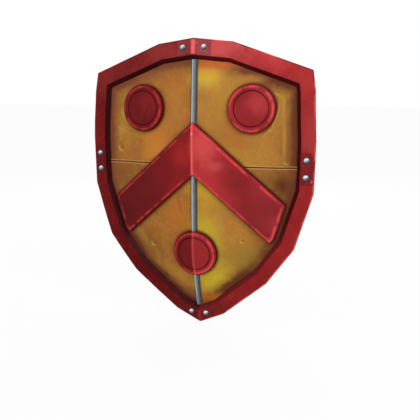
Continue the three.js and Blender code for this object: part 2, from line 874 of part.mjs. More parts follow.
const ringDepth = boardBack + seat + eyeBaseThickness + eyeStandoff;

// An eye: a round base with a lug, and a shank through the board with its tail sunk in the front.
function eye() {
  const base = boardBack + seat;
  const side = new THREE.Shape();
  side.moveTo(-eyeRadius, -eyeStandoff - eyeBaseThickness / 2);
  side.lineTo(eyeRadius, -eyeStandoff - eyeBaseThickness / 2);
  side.absarc(0, 0, eyeRadius, 0, Math.PI, false);
  const hole = new THREE.Path();
  hole.absarc(0, 0, eyeHole, 0, 2 * Math.PI, true);
  side.holes.push(hole);
  const lug = new THREE.ExtrudeGeometry(side, {
    depth: eyeThickness,
    bevelEnabled: false,
    curveSegments: lugSteps,
  });
  const axes = new THREE.Matrix4().makeBasis(
    new THREE.Vector3(0, 0, 1),
    new THREE.Vector3(0, 1, 0),
    new THREE.Vector3(1, 0, 0),
  );
  lug.applyMatrix4(axes).translate(ringReach - eyeThickness / 2, ringDepth, ringHeight);
  const profile = [
    [0, boardFront],
    [eyeSinkRadius, boardFront],
    [eyeSinkRadius, boardFront + strapRivetSink],
    [eyeShankRadius, boardFront + strapRivetSink],
    [eyeShankRadius, base],
    [eyeBaseRadius, base],
    [eyeBaseRadius - eyeBaseThickness / 2, base + eyeBaseThickness],
    [0, base + eyeBaseThickness],
  ];
  return turned(profile, ringReach, ringHeight, eyeSides).add(solid(lug));
}

function ring() {
  const geometry = new THREE.TorusGeometry(ringRadius, ringWire, ringSides, ringSteps).rotateX(Math.PI / 2);
  return solid(geometry.translate(ringReach, ringDepth, ringHeight - ringRadius));
}

// Materials.

const rimRed = new THREE.MeshStandardMaterial({ color: '#97232a', roughness: 0.45, metalness: 0.35 });
const chargeRed = new THREE.MeshStandardMaterial({ color: '#a5272c', roughness: 0.4, metalness: 0.35 });
const gold = new THREE.MeshStandardMaterial({ color: '#b9822f', roughness: 0.45, metalness: 0.6 });
const steel = new THREE.MeshStandardMaterial({ color: '#7e94a5', roughness: 0.35, metalness: 0.9 });
const rivetSteel = new THREE.MeshStandardMaterial({ color: '#aad7e1', roughness: 0.3, metalness: 0.85 });
const wood = new THREE.MeshStandardMaterial({ color: '#8a6238', roughness: 0.7, metalness: 0 });
const leather = new THREE.MeshStandardMaterial({ color: '#4e2a1a', roughness: 0.6, metalness: 0 });
const padLeather = new THREE.MeshStandardMaterial({ color: '#6b3a22', roughness: 0.65, metalness: 0 });

// Assembly.

const shield = new THREE.Group();
shield.position.y = -holdDepth;

function place(name, piece, material) {
  const mesh = new THREE.Mesh(bent(piece), material);
  mesh.name = name;
  shield.add(mesh);
}

// A piece of the right half and its copy on the left.
function placePair(name, piece, material) {
  place(`${name}_right`, piece, material);
  place(`${name}_left`, mirrored(piece), material);
}

placePair('rim_upper', rim.intersect(above), rimRed);
placePair('rim_lower', rim.intersect(below), rimRed);
place('joint_cover_top', topCover, rimRed);
place('joint_cover_point', pointCover, rimRed);
placePair('joint_cover', rightCover, rimRed);
for (const [name, spot] of Object.entries(rimRivets)) {
  placePair(`rim_rivet_${name}`, rimRivet(spot), rivetSteel);
}

placePair('field_plate_upper', gildedPlate(seamHeight + seamGap / 2, beyond), gold);
placePair('field_plate_lower', gildedPlate(-beyond, seamHeight - seamGap / 2), gold);
place('ridge_strip', strip, steel);

place('chevron', chevron(), chargeRed);
placePair('roundel_upper', roundel(roundelReach, roundelHeight), chargeRed);
place('roundel_lower', roundel(0, -roundelDrop), chargeRed);
chevronStuds.forEach(([x, z], i) => placePair(`rove_chevron_${i + 1}`, rove(x, z), steel));
placePair('rove_roundel', rove(roundelReach, roundelHeight), steel);
place('rove_roundel_lower', rove(0, -roundelDrop), steel);

for (const [label, side] of [['right', 1], ['left', -1]]) {
  const inner = plank(0, plankWidth, side);
  const outer = plank(plankWidth, beyond, side);
  place(`plank_inner_${label}`, side > 0 ? inner : mirrored(inner), wood);
  place(`plank_outer_${label}`, side > 0 ? outer : mirrored(outer), wood);
}

place('arm_pad', armPad(), padLeather);
for (const [name, strap] of [['arm_strap', armStrap], ['hand_grip', handGrip]]) {
  place(name, strapBand(strap), leather);
  place(`${name}_plate_upper`, footPlate(strap, 1), steel);
  place(`${name}_plate_lower`, footPlate(strap, -1), steel);
  feet(strap).forEach(([x, z], i) => place(`${name}_rivet_${i + 1}`, strapRivet(strap, x, z), rivetSteel));
}
place('hand_grip_sleeve', gripSleeve(), padLeather);
placePair('ring_eye', eye(), steel);
placePair('ring', ring(), steel);

export default shield;
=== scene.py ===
import math

import bmesh
import bpy
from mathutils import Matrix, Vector, noise
from mathutils.bvhtree import BVHTree
from mathutils.geometry import delaunay_2d_cdt


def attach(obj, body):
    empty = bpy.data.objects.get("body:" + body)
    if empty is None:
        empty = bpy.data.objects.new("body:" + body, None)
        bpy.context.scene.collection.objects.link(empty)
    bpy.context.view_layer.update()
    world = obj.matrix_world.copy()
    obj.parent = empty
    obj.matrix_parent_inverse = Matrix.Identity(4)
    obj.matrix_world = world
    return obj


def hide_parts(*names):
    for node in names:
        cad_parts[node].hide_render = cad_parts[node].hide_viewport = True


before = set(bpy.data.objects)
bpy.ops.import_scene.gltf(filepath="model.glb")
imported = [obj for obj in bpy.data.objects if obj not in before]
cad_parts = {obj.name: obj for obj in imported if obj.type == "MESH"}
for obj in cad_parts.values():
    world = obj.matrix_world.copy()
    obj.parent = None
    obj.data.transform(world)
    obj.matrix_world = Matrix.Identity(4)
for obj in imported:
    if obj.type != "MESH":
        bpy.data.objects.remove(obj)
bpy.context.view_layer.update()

# Boards.
# Two oak planks on each side of the ridge, planed, oiled and dark with handling. The grain runs from the
# top to the point. Only their backs show.
plank_width = 0.16
oak_pale = (0.31, 0.165, 0.070)
oak_dark = (0.105, 0.044, 0.017)
oak_stain = (0.065, 0.030, 0.014)
oak_pore = (0.045, 0.018, 0.008)


def linked(value, socket):
    value.id_data.links.new(value, socket)


def node(kind, inputs=None, tree=None, **settings):
    """A node with its settings and inputs, in the tree that its first linked input comes from."""
    inputs = inputs or {}
    links = [value for value in inputs.values() if isinstance(value, bpy.types.NodeSocket)]
    made = (tree or links[0].id_data).nodes.new(kind)
    for key, value in settings.items():
        setattr(made, key, value)
    for key, value in inputs.items():
        if isinstance(value, bpy.types.NodeSocket):
            linked(value, made.inputs[key])
        else:
            made.inputs[key].default_value = value
    return made


def maths(operation, a, b=0.0):
    return node("ShaderNodeMath", {0: a, 1: b}, operation=operation).outputs[0]


def times(first, *others):
    for other in others:
        first = maths("MULTIPLY", first, other)
    return first


def plus(first, *others):
    for other in others:
        first = maths("ADD", first, other)
    return first


def minus(a, b):
    return maths("SUBTRACT", a, b)


def vectors(operation, a, b=(0.0, 0.0, 0.0)):
    """Maths on two vectors, which gives a vector, or a number for a distance or a length."""
    made = node("ShaderNodeVectorMath", {0: a, 1: b}, operation=operation)
    return made.outputs["Value" if operation in ("DISTANCE", "LENGTH") else "Vector"]


def split(vector):
    """The three numbers of a vector."""
    return node("ShaderNodeSeparateXYZ", {0: vector}).outputs


def ranged(value, low, high, start=0.0, end=1.0):
    """A soft step: start where the value is low, end where it is high."""
    inputs = {"Value": value, "From Min": low, "From Max": high, "To Min": start, "To Max": end}
    return node("ShaderNodeMapRange", inputs, interpolation_type="SMOOTHSTEP").outputs["Result"]


def mixed(factor, under, over):
    """A colour laid over another one. A written colour is [red, green, blue]."""
    under, over = [(*colour, 1) if isinstance(colour, tuple) else colour for colour in (under, over)]
    return node("ShaderNodeMix", {0: factor, 6: under, 7: over}, data_type="RGBA").outputs[2]


def noisy(vector, scale, detail=3.0, roughness=0.5, distortion=0.0):
    inputs = {"Vector": vector, "Scale": scale, "Detail": detail, "Roughness": roughness,
              "Distortion": distortion}
    return node("ShaderNodeTexNoise", inputs).outputs[0]


def stretched(vector, scale, turn=(0.0, 0.0, 0.0)):
    return node("ShaderNodeMapping", {"Vector": vector, "Scale": scale, "Rotation": turn}).outputs[0]


def finish_of(name, **values):
    """A new material, its shader, and the place on the object."""
    material = bpy.data.materials.new(name)
    material.use_nodes = True
    shader = material.node_tree.nodes["Principled BSDF"]
    for key, value in values.items():
        shader.inputs[key.replace("_", " ")].default_value = value
    return material, shader, node("ShaderNodeTexCoord", tree=material.node_tree).outputs["Object"]


def finished(shader, colour, roughness, height, depth, strength):
    """Gives a shader its colour, its roughness where that varies, and a bump of a depth in metres."""
    linked(colour, shader.inputs["Base Color"])
    if roughness:
        linked(roughness, shader.inputs["Roughness"])
    bump = node("ShaderNodeBump", {"Height": height, "Distance": depth, "Strength": strength})
    linked(bump.outputs[0], shader.inputs["Normal"])


def dressed(material, *names):
    for name in names:
        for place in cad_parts[name].material_slots:
            place.material = material


oak, shader, place = finish_of("oiled_oak", Specular_IOR_Level=0.2)
across = split(place)[0]
plank = maths("FLOOR", maths("DIVIDE", across, plank_width))
lot = node("ShaderNodeTexWhiteNoise", {"W": plank}, noise_dimensions="1D")
moved = vectors("ADD", place, lot.outputs["Color"])
# Growth rings cut at a slant: long pointed arches in the middle of a plank, straight lines beside them.
slow = noisy(stretched(moved, (2.2, 1.0, 0.55)), 3.2, 2.0, 0.4)
rings = maths("FRACT", plus(times(slow, 30.0), times(across, 42.0)))
growth = maths("ABSOLUTE", minus(rings, 0.5))
fibre = noisy(stretched(moved, (1.0, 1.0, 0.035)), 520.0, 4.0, 0.6)
broad = noisy(stretched(moved, (1.0, 1.0, 0.12)), 34.0, 3.0, 0.55)
tone = plus(times(growth, 0.55), times(fibre, 0.45), times(broad, 0.5), times(lot.outputs["Value"], 0.30))
wood = mixed(ranged(tone, 0.35, 1.2), oak_dark, oak_pale)
wood = mixed(ranged(noisy(moved, 7.0), 0.45, 0.75, 0.0, 0.55), wood, oak_stain)
pores = ranged(noisy(stretched(moved, (1.0, 1.0, 0.05)), 900.0, 2.0), 0.62, 0.68, 0.0, 0.6)
wood = mixed(pores, wood, oak_pore)
relief = minus(plus(fibre, times(growth, 0.4)), pores)
finished(shader, wood, ranged(fibre, 0.3, 0.7, 0.66, 0.5), relief, 0.0006, 0.7)
dressed(oak, "plank_inner_right", "plank_inner_left", "plank_outer_right", "plank_outer_left")

# Gilded plates.
# Four sheets of gilded brass, 1.5 mm thick, that meet at the ridge and at a level seam. They were beaten
# flat by hand, have a few dents, and are brown with age and painted shade towards the rim.
top_height = 348.5
point_drop = 371.5
half_width = 294.0
# The corners from the top to the point, as shares of the half width and of the height above or below.
outline_shares = [(0, 1), (0.327, 0.97), (0.956, 0.78), (0.98, 0.643), (1, 0.31), (0.993, -0.032),
                  (0.847, -0.404), (0.612, -0.657), (0.218, -0.92), (0, -1)]
top_stretches = 2
lean_height = 150.0
top_lean = 12.0
sweep_start = 80.0
sweep_steps = 8
point_sweep = 51.0
side_setback = 36.0
hold_depth = 48.1
rim_width = 33.0
rim_top_width = 38.0
rim_bevel = 10.0
plate_inset = 11.3
plate_front = 12.0
plate_back = 13.5
plate_pitch = 7.0
ridge_gap = 0.15
seam_height = 46.0
seam_gap = 0.8
levels = [("upper", seam_height + seam_gap / 2, top_height),
          ("lower", -point_drop, seam_height - seam_gap / 2)]
sides = [("right", 1), ("left", -1)]

keel = [(top_height, top_lean), (lean_height, 0.0)]
for step in range(sweep_steps + 1):
    share = step / sweep_steps
    keel.append((-sweep_start - share * (point_drop - sweep_start), point_sweep * share ** 2))


def form(x, z):
    """How far the bent shield lies behind its flat drawing: the lean, the sweep and the fold."""
    k = 0
    while k + 2 < len(keel) and z < keel[k + 1][0]:
        k += 1
    (top, start), (low, end) = keel[k], keel[k + 1]
    return start + (end - start) * (top - z) / (top - low) + side_setback * abs(x) / half_width


def placed(x, y, z):
    """A point of the flat drawing in millimetres, bent and brought to the shield's place in metres."""
    return Vector((x, y + form(x, z) - hold_depth, z)) / 1000


corners = [Vector((reach * half_width, height * (top_height if height > 0 else point_drop)))
           for reach, height in outline_shares]


def bar_width(stretch):
    return rim_top_width if stretch < top_stretches else rim_width


def inset(amount):
    """The right half of the outline moved inwards by amount(stretch), from ridge to ridge."""
    lines = [(Vector((0, 0)), Vector((0, 1)))]
    for i in range(len(corners) - 1):
        along = (corners[i + 1] - corners[i]).normalized()
        lines.append((corners[i] + Vector((along.y, -along.x)) * amount(i), along))
    lines.append(lines[0])
    path = []
    for (a, u), (b, v) in zip(lines, lines[1:]):
        path.append(a + u * ((b - a).cross(v) / u.cross(v)))
    return path


def reach_at(path, height):
    """How far a path reaches from the ridge at one height."""
    k = next(i for i, p in enumerate(path) if p.y < height)
    share = (path[k - 1].y - height) / (path[k - 1].y - path[k].y)
    return path[k - 1].x + (path[k].x - path[k - 1].x) * share


def whole(path):
    """Both halves of a path, as one closed outline."""
    return path + [Vector((-p.x, p.y)) for p in path[-2:0:-1]]


def depth_in(point, outline):
    """How far a point lies inside an outline, or outside it with a minus."""
    nearest, within = 1e9, False
    for a, b in zip(outline, outline[1:] + outline[:1]):
        side = b - a
        share = min(1.0, max(0.0, (point - a).dot(side) / side.length_squared))
        nearest = min(nearest, (point - a - side * share).length)
        if (a.y > point.y) != (b.y > point.y) and point.x < a.x + side.x * (point.y - a.y) / side.y:
            within = not within
    return nearest if within else -nearest


def spaced(outline, pitch):
    """The same closed outline with points no further apart than the pitch."""
    path = []
    for a, b in zip(outline, outline[1:] + outline[:1]):
        count = max(1, math.ceil((b - a).length / pitch))
        path += [a.lerp(b, i / count) for i in range(count)]
    return path


spot_rings = (0.3, 0.6, 0.9, 1.25, 1.65)
spot_margin = 2.0
spokes = [Vector((math.cos(math.pi * i / 8), math.sin(math.pi * i / 8))) for i in range(16)]


def filled(ring, pitch, creased=False, spots=()):
    """Points and triangles inside a ring of points, which come first. They are in an even grid, with rings
    closer together round each spot [x, z, radius], and an edge along the ridge where it is creased."""
    points = list(ring)
    for x, z, radius in spots:
        centre = Vector((x, z))
        if depth_in(centre, ring) > radius * 2:
            points.append(centre)
            for share in spot_rings:
                points += [centre + spoke * radius * share for spoke in spokes]
    edges = [(i, (i + 1) % len(ring)) for i in range(len(ring))]
    reach = [math.ceil(max(abs(p[k]) for p in ring) / pitch) for k in (0, 1)]
    for i in range(-reach[0], reach[0] + 1):
        for j in range(-reach[1], reach[1] + 1):
            point = Vector((i * pitch, j * pitch))
            clear = all((point - Vector((x, z))).length > radius * spot_rings[-1] + spot_margin
                        for x, z, radius in spots)
            if depth_in(point, ring) > pitch * 0.45 and clear:
                points.append(point)
    if creased:
        on_ridge = [i for i, p in enumerate(points) if abs(p.x) < 1e-6]
        on_ridge.sort(key=lambda i: points[i].y)
        edges += list(zip(on_ridge, on_ridge[1:]))
    out = delaunay_2d_cdt(points, edges, [], 1, 1e-5)
    return out[0], out[2]


def added(name, data):
    """A new object in the scene, at its origin."""
    made = bpy.data.objects.new(name, data)
    bpy.context.scene.collection.objects.link(made)
    return made


def joined_up(name, mesh, material, replaced, body="shield", sharp=38):
    """A mesh made one closed piece, smooth but for sharp edges, that stands for its CAD nodes."""
    form_of = bmesh.new()
    form_of.from_mesh(mesh)
    bmesh.ops.remove_doubles(form_of, verts=form_of.verts, dist=2e-6)
    bmesh.ops.dissolve_degenerate(form_of, edges=form_of.edges, dist=1e-6)
    bmesh.ops.recalc_face_normals(form_of, faces=form_of.faces)
    form_of.to_mesh(mesh)
    form_of.free()
    mesh.polygons.foreach_set("use_smooth", [True] * len(mesh.polygons))
    mesh.set_sharp_from_angle(angle=math.radians(sharp))
    mesh.materials.clear()
    mesh.materials.append(material)
    piece = added(name, mesh)
    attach(piece, body)
    if replaced:
        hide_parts(*replaced)
    return piece


def made_piece(name, points, faces, marks, material, replaced, sharp=38):
    """A piece of the shield made of points and faces, with its marks at the points."""
    mesh = bpy.data.meshes.new(name)
    mesh.from_pydata(points, [], faces)
    for label, values in marks.items():
        mesh.attributes.new(label, "FLOAT", "POINT").data.foreach_set("value", values)
    return joined_up(name, mesh, material, replaced, sharp=sharp)


# The charges' outlines are needed here too, because painted shade darkens the gold round their feet.
chevron_apex = 152.0
chevron_throat = 22.0
chevron_slope = 0.85
chevron_margin = 9.0
roundel_radius = 58.0
roundel_sides = 64
roundel_spots = {
    "upper_right": Vector((0.483 * half_width, 0.528 * top_height)),
    "upper_left": Vector((-0.483 * half_width, 0.528 * top_height)),
    "lower": Vector((0.0, -0.474 * point_drop)),
}


def chevron_outline():
    """The chevron on both sides of the ridge, its ends level with the foot of the rim."""
    path = inset(lambda i: bar_width(i) + rim_bevel + chevron_margin)
    cuts = []
    for apex in (chevron_apex, chevron_throat):
        k = next(i for i, p in enumerate(path) if p.y < apex - chevron_slope * p.x)
        a, u = path[k - 1], path[k] - path[k - 1]
        along = Vector((1, -chevron_slope))
        cuts.append((k, a + u * ((Vector((0, apex)) - a).cross(along) / u.cross(along))))
    half = [Vector((0, chevron_apex)), cuts[0][1], *path[cuts[0][0]:cuts[1][0]], cuts[1][1]]
    return half + [Vector((0, chevron_throat))] + [Vector((-p.x, p.y)) for p in half[:0:-1]]


chevron_plan = chevron_outline()
rim_foot = whole(inset(lambda i: bar_width(i) + rim_bevel))


def beside_charges(point):
    return min([-depth_in(point, chevron_plan)] + [(point - spot).length - roundel_radius
                                                   for spot in roundel_spots.values()])


socket_kinds = {tuple: "NodeSocketVector", float: "NodeSocketFloat", int: "NodeSocketInt"}


def named_inputs(tree, inputs):
    """Gives a tree its named inputs, each with a first value that also says its kind."""
    for label, value in inputs.items():
        socket = tree.interface.new_socket(label, in_out="INPUT", socket_type=socket_kinds[type(value)])
        socket.default_value = value


def shader_group(name, inputs, *outputs):
    """An empty shader group with its named inputs and outputs, and the sockets at its two ends."""
    group = bpy.data.node_groups.new(name, "ShaderNodeTree")
    named_inputs(group, inputs)
    for label in outputs:
        group.interface.new_socket(label, in_out="OUTPUT", socket_type="NodeSocketFloat")
    return group, group.nodes.new("NodeGroupInput").outputs, group.nodes.new("NodeGroupOutput").inputs


# Brushwork: a soft tone of broad clouds and of slanting dabs.
brushwork, start, end = shader_group("brushwork", {"Vector": (0, 0, 0), "Scale": 10.0}, "Tone")
broad = noisy(start["Vector"], start["Scale"], 3.0, 0.55, 0.6)
warp = node("ShaderNodeTexNoise", {"Vector": start["Vector"], "Scale": start["Scale"], "Detail": 2.0})
warp = node("ShaderNodeVectorMath", {0: warp.outputs["Color"], "Scale": 0.09}, operation="SCALE").outputs[0]
dabs = node("ShaderNodeTexVoronoi", {
    "Vector": stretched(vectors("ADD", start["Vector"], warp), (1.5, 1.0, 0.8), (0.0, 0.7, 0.0)),
    "Scale": times(start["Scale"], 1.6), "Smoothness": 0.7}, feature="SMOOTH_F1").outputs["Color"]
linked(ranged(plus(times(broad, 0.6), times(split(dabs)[0], 0.4)), 0.32, 0.68), end["Tone"])

# Scratches: thin lines in two directions, gathered in a few places.
scratches, start, end = shader_group("scratches", {"Vector": (0, 0, 0), "Scale": 10.0}, "Mask")
few = noisy(start["Vector"], times(start["Scale"], 0.45), 2.0)
scored = []
for length, slant, waver, gate in ((0.16, -0.5, 0.3, (0.55, 0.62)), (0.2, 0.9, 0.5, (0.6, 0.66))):
    lines = stretched(start["Vector"], (1.0, 1.0, length), (0.0, slant, 0.0))
    off_line = maths("ABSOLUTE", minus(noisy(lines, start["Scale"], 1.0, 0.4, waver), 0.5))
    scored.append(times(ranged(off_line, 0.002, 0.011, 1.0, 0.0), ranged(few, *gate)))
linked(maths("MAXIMUM", *scored), end["Mask"])

# Edge wear and painted edge highlights: a broken band about a middle distance from an edge.
edge_wear_and_highlight, start, end = shader_group(
    "edge_wear_and_highlight", {"Vector": (0, 0, 0), "Edge": 0.0, "Middle": 4.0, "Width": 2.0}, "Mask")
off_middle = maths("ABSOLUTE", minus(start["Edge"], start["Middle"]))
band = ranged(maths("DIVIDE", off_middle, start["Width"]), 0.2, 1.2, 1.0, 0.0)
linked(times(band, ranged(noisy(start["Vector"], 38.0, 3.0, 0.6), 0.35, 0.62)), end["Mask"])

# Dent: a round hollow and the lip that was pushed up round it.
dent, start, end = shader_group(
    "dent", {"Vector": (0, 0, 0), "Place": (0, 0, 0), "Radius": 0.01}, "Hollow", "Lip")
away = maths("DIVIDE", vectors("DISTANCE", start["Vector"], start["Place"]), start["Radius"])
linked(ranged(away, 0.25, 1.0, 1.0, 0.0), end["Hollow"])
linked(times(ranged(away, 0.6, 1.0), ranged(away, 1.05, 1.7, 1.0, 0.0)), end["Lip"])

# Paint patch: a soft oval with a ragged edge.
paint_patch, start, end = shader_group(
    "paint_patch", {"Vector": (0, 0, 0), "Place": (0, 0, 0), "Size": (0, 0, 0), "Ragged": 0.5}, "Mask")
apart = vectors("SUBTRACT", start["Vector"], start["Place"])
apart = vectors("LENGTH", vectors("DIVIDE", apart, start["Size"]))
torn = times(minus(noisy(start["Vector"], 34.0, 4.0, 0.6, 0.8), 0.5), start["Ragged"])
linked(ranged(plus(apart, torn), 0.1, 1.05, 1.0, 0.0), end["Mask"])

# Arc stroke: a worn line on one side of a circle, tapered between two heights.
arc_stroke, start, end = shader_group(
    "arc_stroke", {"Vector": (0, 0, 0), "Place": (0, 0, 0), "Radius": 0.1, "Width": 0.002, "Low": 0.0,
                   "High": 0.1, "Side": 1.0}, "Mask")
flat = vectors("MULTIPLY", start["Vector"], (1.0, 0.0, 1.0))
off_arc = maths("ABSOLUTE", minus(vectors("DISTANCE", flat, start["Place"]), start["Radius"]))
line = ranged(maths("DIVIDE", off_arc, start["Width"]), 0.2, 1.0, 1.0, 0.0)
across = split(vectors("SUBTRACT", flat, start["Place"]))[0]
sided = ranged(times(across, start["Side"]), 0.0, 0.03)
up = minus(split(start["Vector"])[2], start["Low"])
up = maths("DIVIDE", up, minus(start["High"], start["Low"]))
tapered = times(ranged(up, 0.0, 0.3), ranged(up, 0.7, 1.0, 1.0, 0.0))
worn = ranged(noisy(start["Vector"], 60.0), 0.3, 0.55)
linked(times(line, tapered, worn, sided), end["Mask"])


def mark(place, name):
    """A mark that a mesh carries at its points."""
    return node("ShaderNodeAttribute", tree=place.id_data, attribute_name=name).outputs["Fac"]


def grouped(group, **inputs):
    return node("ShaderNodeGroup", inputs, node_tree=group)


def tone_of(group, place, scale):
    return grouped(group, Vector=place, Scale=scale).outputs[0]


def wear_and_highlight(place, edge, middle, width):
    return grouped(edge_wear_and_highlight, Vector=place, Edge=edge, Middle=middle, Width=width).outputs[0]


def patch(place, x, z, wide, tall, strength=1.0, ragged=0.5):
    """A soft brushed patch in the front view, in metres."""
    mask = grouped(paint_patch, Vector=place, Place=(x, 0.0, z), Size=(wide, 10.0, tall), Ragged=ragged)
    return times(mask.outputs[0], strength)


def patched(colour, place, patches, ragged=0.5):
    """A colour with patches over it, each [x, z, half width, half height, strength, colour]."""
    for x, z, wide, tall, strength, paint in patches:
        colour = mixed(patch(place, x, z, wide, tall, strength, ragged), colour, paint)
    return colour


def stroke_on(place, x, z, radius, width, low, high, strength):
    mask = grouped(arc_stroke, Vector=place, Place=(x, 0.0, z), Radius=radius, Width=width, Low=low,
                   High=high, Side=math.copysign(1.0, x))
    return times(mask.outputs[0], strength)


gold_shaded_left = (0.335, 0.128, 0.024)
gold_lit_right = (0.41, 0.185, 0.034)
gold_dabs = (0.44, 0.155, 0.026)
gold_flecks = (0.50, 0.27, 0.045)
# Yellow beside the ridge on the right, orange beside it on the left, and browner gold further out.
gold_patches = [
    (0.112, 0.205, 0.085, 0.060, 0.7, (0.49, 0.265, 0.040)),
    (0.095, 0.110, 0.075, 0.055, 0.7, (0.40, 0.140, 0.026)),
    (0.028, 0.262, 0.062, 0.048, 0.95, (0.62, 0.38, 0.040)),
    (0.048, 0.306, 0.090, 0.022, 0.9, (0.50, 0.110, 0.024)),
    (0.050, 0.020, 0.110, 0.100, 0.9, (0.58, 0.37, 0.030)),
    (0.232, 0.006, 0.085, 0.060, 1.0, (0.095, 0.020, 0.004)),
    (0.235, 0.095, 0.060, 0.085, 0.9, (0.29, 0.108, 0.024)),
    (0.110, -0.200, 0.080, 0.060, 0.8, (0.33, 0.200, 0.026)),
    (0.175, -0.115, 0.060, 0.075, 0.85, (0.30, 0.118, 0.020)),
    (0.022, -0.140, 0.065, 0.100, 0.95, (0.55, 0.40, 0.026)),
    (0.046, -0.245, 0.080, 0.070, 0.95, (0.53, 0.39, 0.026)),
    (-0.105, 0.085, 0.060, 0.095, 0.9, (0.58, 0.205, 0.030)),
    (-0.190, 0.165, 0.045, 0.090, 0.75, (0.44, 0.235, 0.034)),
    (-0.055, 0.200, 0.060, 0.090, 0.7, (0.47, 0.185, 0.034)),
    (-0.070, 0.040, 0.065, 0.055, 0.9, (0.66, 0.245, 0.030)),
    (-0.215, 0.010, 0.060, 0.045, 0.8, (0.21, 0.075, 0.018)),
    (-0.050, -0.080, 0.060, 0.065, 0.85, (0.45, 0.150, 0.022)),
    (-0.030, -0.160, 0.055, 0.080, 0.8, (0.38, 0.125, 0.020)),
    (-0.085, -0.240, 0.075, 0.035, 0.8, (0.39, 0.195, 0.026)),
    (-0.155, -0.175, 0.075, 0.080, 0.85, (0.21, 0.078, 0.015)),
    (-0.048, -0.245, 0.040, 0.035, 0.7, (0.43, 0.215, 0.030)),
    (-0.045, -0.300, 0.070, 0.038, 0.9, (0.16, 0.056, 0.012))]
gold_glow = [
    (0.052, 0.288, 0.090, 0.020, 0.85, (0.60, 0.150, 0.030)),
    (0.140, 0.252, 0.050, 0.016, 0.7, (0.47, 0.215, 0.045)),
    (0.030, 0.268, 0.055, 0.016, 0.6, (0.68, 0.330, 0.045)),
    (0.040, -0.298, 0.062, 0.026, 0.95, (0.40, 0.120, 0.016)),
    (0.014, -0.322, 0.034, 0.020, 0.9, (0.36, 0.090, 0.012)),
    (-0.125, 0.262, 0.075, 0.020, 0.45, (0.36, 0.120, 0.045)),
    (-0.165, 0.236, 0.040, 0.020, 0.3, (0.36, 0.130, 0.034)),
    (0.175, -0.125, 0.030, 0.045, 0.4, (0.33, 0.145, 0.022)),
    (0.135, -0.175, 0.055, 0.050, 0.55, (0.285, 0.165, 0.024))]

gold, shader, place = finish_of("gilded_brass", Metallic=0.08, Specular_IOR_Level=0.09)
across, _, up = split(place)
tone = tone_of(brushwork, place, 13.0)
fine = tone_of(brushwork, place, 42.0)
# Painted light: the right half of the fold is lit and the left half shaded.
right = ranged(across, -0.004, 0.004)
colour = mixed(right, gold_shaded_left, gold_lit_right)
colour = mixed(times(tone, 0.45), colour, gold_dabs)
colour = mixed(ranged(fine, 0.4, 1.0, 0.0, 0.25), colour, gold_flecks)
colour = patched(colour, place, gold_patches)
# Paler streaks a little inside the rim: above the middle on the right, and low on the left.
foot = mark(place, "foot")
pale_streak = times(ranged(up, 0.21, 0.25, 0.5, 0.0), ranged(up, 0.05, 0.07), right, wear_and_highlight(place, foot, 31.0, 6.0))
colour = mixed(pale_streak, colour, (0.56, 0.32, 0.045))
pale_streak = times(ranged(up, -0.10, -0.05, 0.6, 0.0), ranged(across, -0.06, -0.03, 1.0, 0.0))
colour = mixed(times(pale_streak, wear_and_highlight(place, foot, 34.0, 16.0)), colour, (0.37, 0.205, 0.030))
# Brown with age and painted shade towards the rim, with a ragged inner edge.
low_part = ranged(up, -0.12, 0.02, 1.0, 0.0)
right_side = ranged(across, 0.08, 0.20)
torn = minus(noisy(stretched(place, (1.0, 1.0, 0.6)), 40.0, 4.0, 0.6, 0.6), 0.5)
ragged = minus(plus(foot, times(torn, 22.0)), times(low_part, ranged(across, 0.05, 0.12, 0.0, 5.5)))
ragged = minus(ragged, times(ranged(up, -0.05, 0.05), right_side))
far_shade = mixed(right_side, (0.24, 0.088, 0.022), (0.17, 0.060, 0.018))
colour = mixed(ranged(ragged, 6.0, 42.0, 0.75, 0.0), colour, far_shade)
shade = mixed(right_side, (0.205, 0.056, 0.025), (0.135, 0.034, 0.014))
shade = mixed(low_part, shade, (0.120, 0.029, 0.009))
colour = mixed(ranged(ragged, 6.0, 21.0, 0.95, 0.0), colour, shade)
# Painted shade at the foot of the rim, thin along the top, and then the coppery glow of the tip and the top.
rim_foot_shade = plus(foot, ranged(up, 0.20, 0.26, 0.0, 3.0))
colour = mixed(ranged(rim_foot_shade, 0.5, 3.6, 0.9, 0.0), colour, (0.050, 0.010, 0.007))
colour = patched(colour, place, [(*spot, times(right, strength) if spot[0] > 0 else strength, paint)
                                 for *spot, strength, paint in gold_glow])
# Painted shade on the gold round the charges' feet.
colour = mixed(ranged(mark(place, "charge"), 0.0, 8.0, 0.65, 0.0), colour, (0.10, 0.03, 0.012))
# The seam: a dark line with painted highlights on its edges above and below it, and painted shade under that.
below = plus(minus(seam_height / 1000, up), times(minus(tone, 0.5), 0.0008))
shaded = times(ranged(below, 0.001, 0.004), ranged(below, 0.012, 0.045, 0.45, 0.0))
colour = mixed(shaded, colour, (0.22, 0.075, 0.018))
lip_highlight = times(ranged(below, 0.0012, 0.002), ranged(below, 0.003, 0.005, 1.0, 0.0), 0.55)
colour = mixed(lip_highlight, colour, (0.66, 0.30, 0.13))
lip_highlight = times(ranged(below, -0.002, -0.0012, 1.0, 0.0), ranged(below, -0.0055, -0.0030), 0.4)
colour = mixed(lip_highlight, colour, (0.70, 0.36, 0.05))
line = ranged(maths("ABSOLUTE", below), 0.0010, 0.0019, 0.95, 0.0)
colour = mixed(line, colour, (0.04, 0.014, 0.008))
# Painted shade on both sides of the strip, where it meets the plates.
strip_side_shade = times(ranged(across, 0.0060, 0.0066), ranged(across, 0.0074, 0.0100, 0.8, 0.0))
colour = mixed(strip_side_shade, colour, (0.115, 0.055, 0.018))
strip_side_shade = times(ranged(across, -0.0105, -0.008, 0.0, 0.7), ranged(across, -0.0065, -0.0055, 1.0, 0.0))
colour = mixed(strip_side_shade, colour, (0.14, 0.05, 0.012))
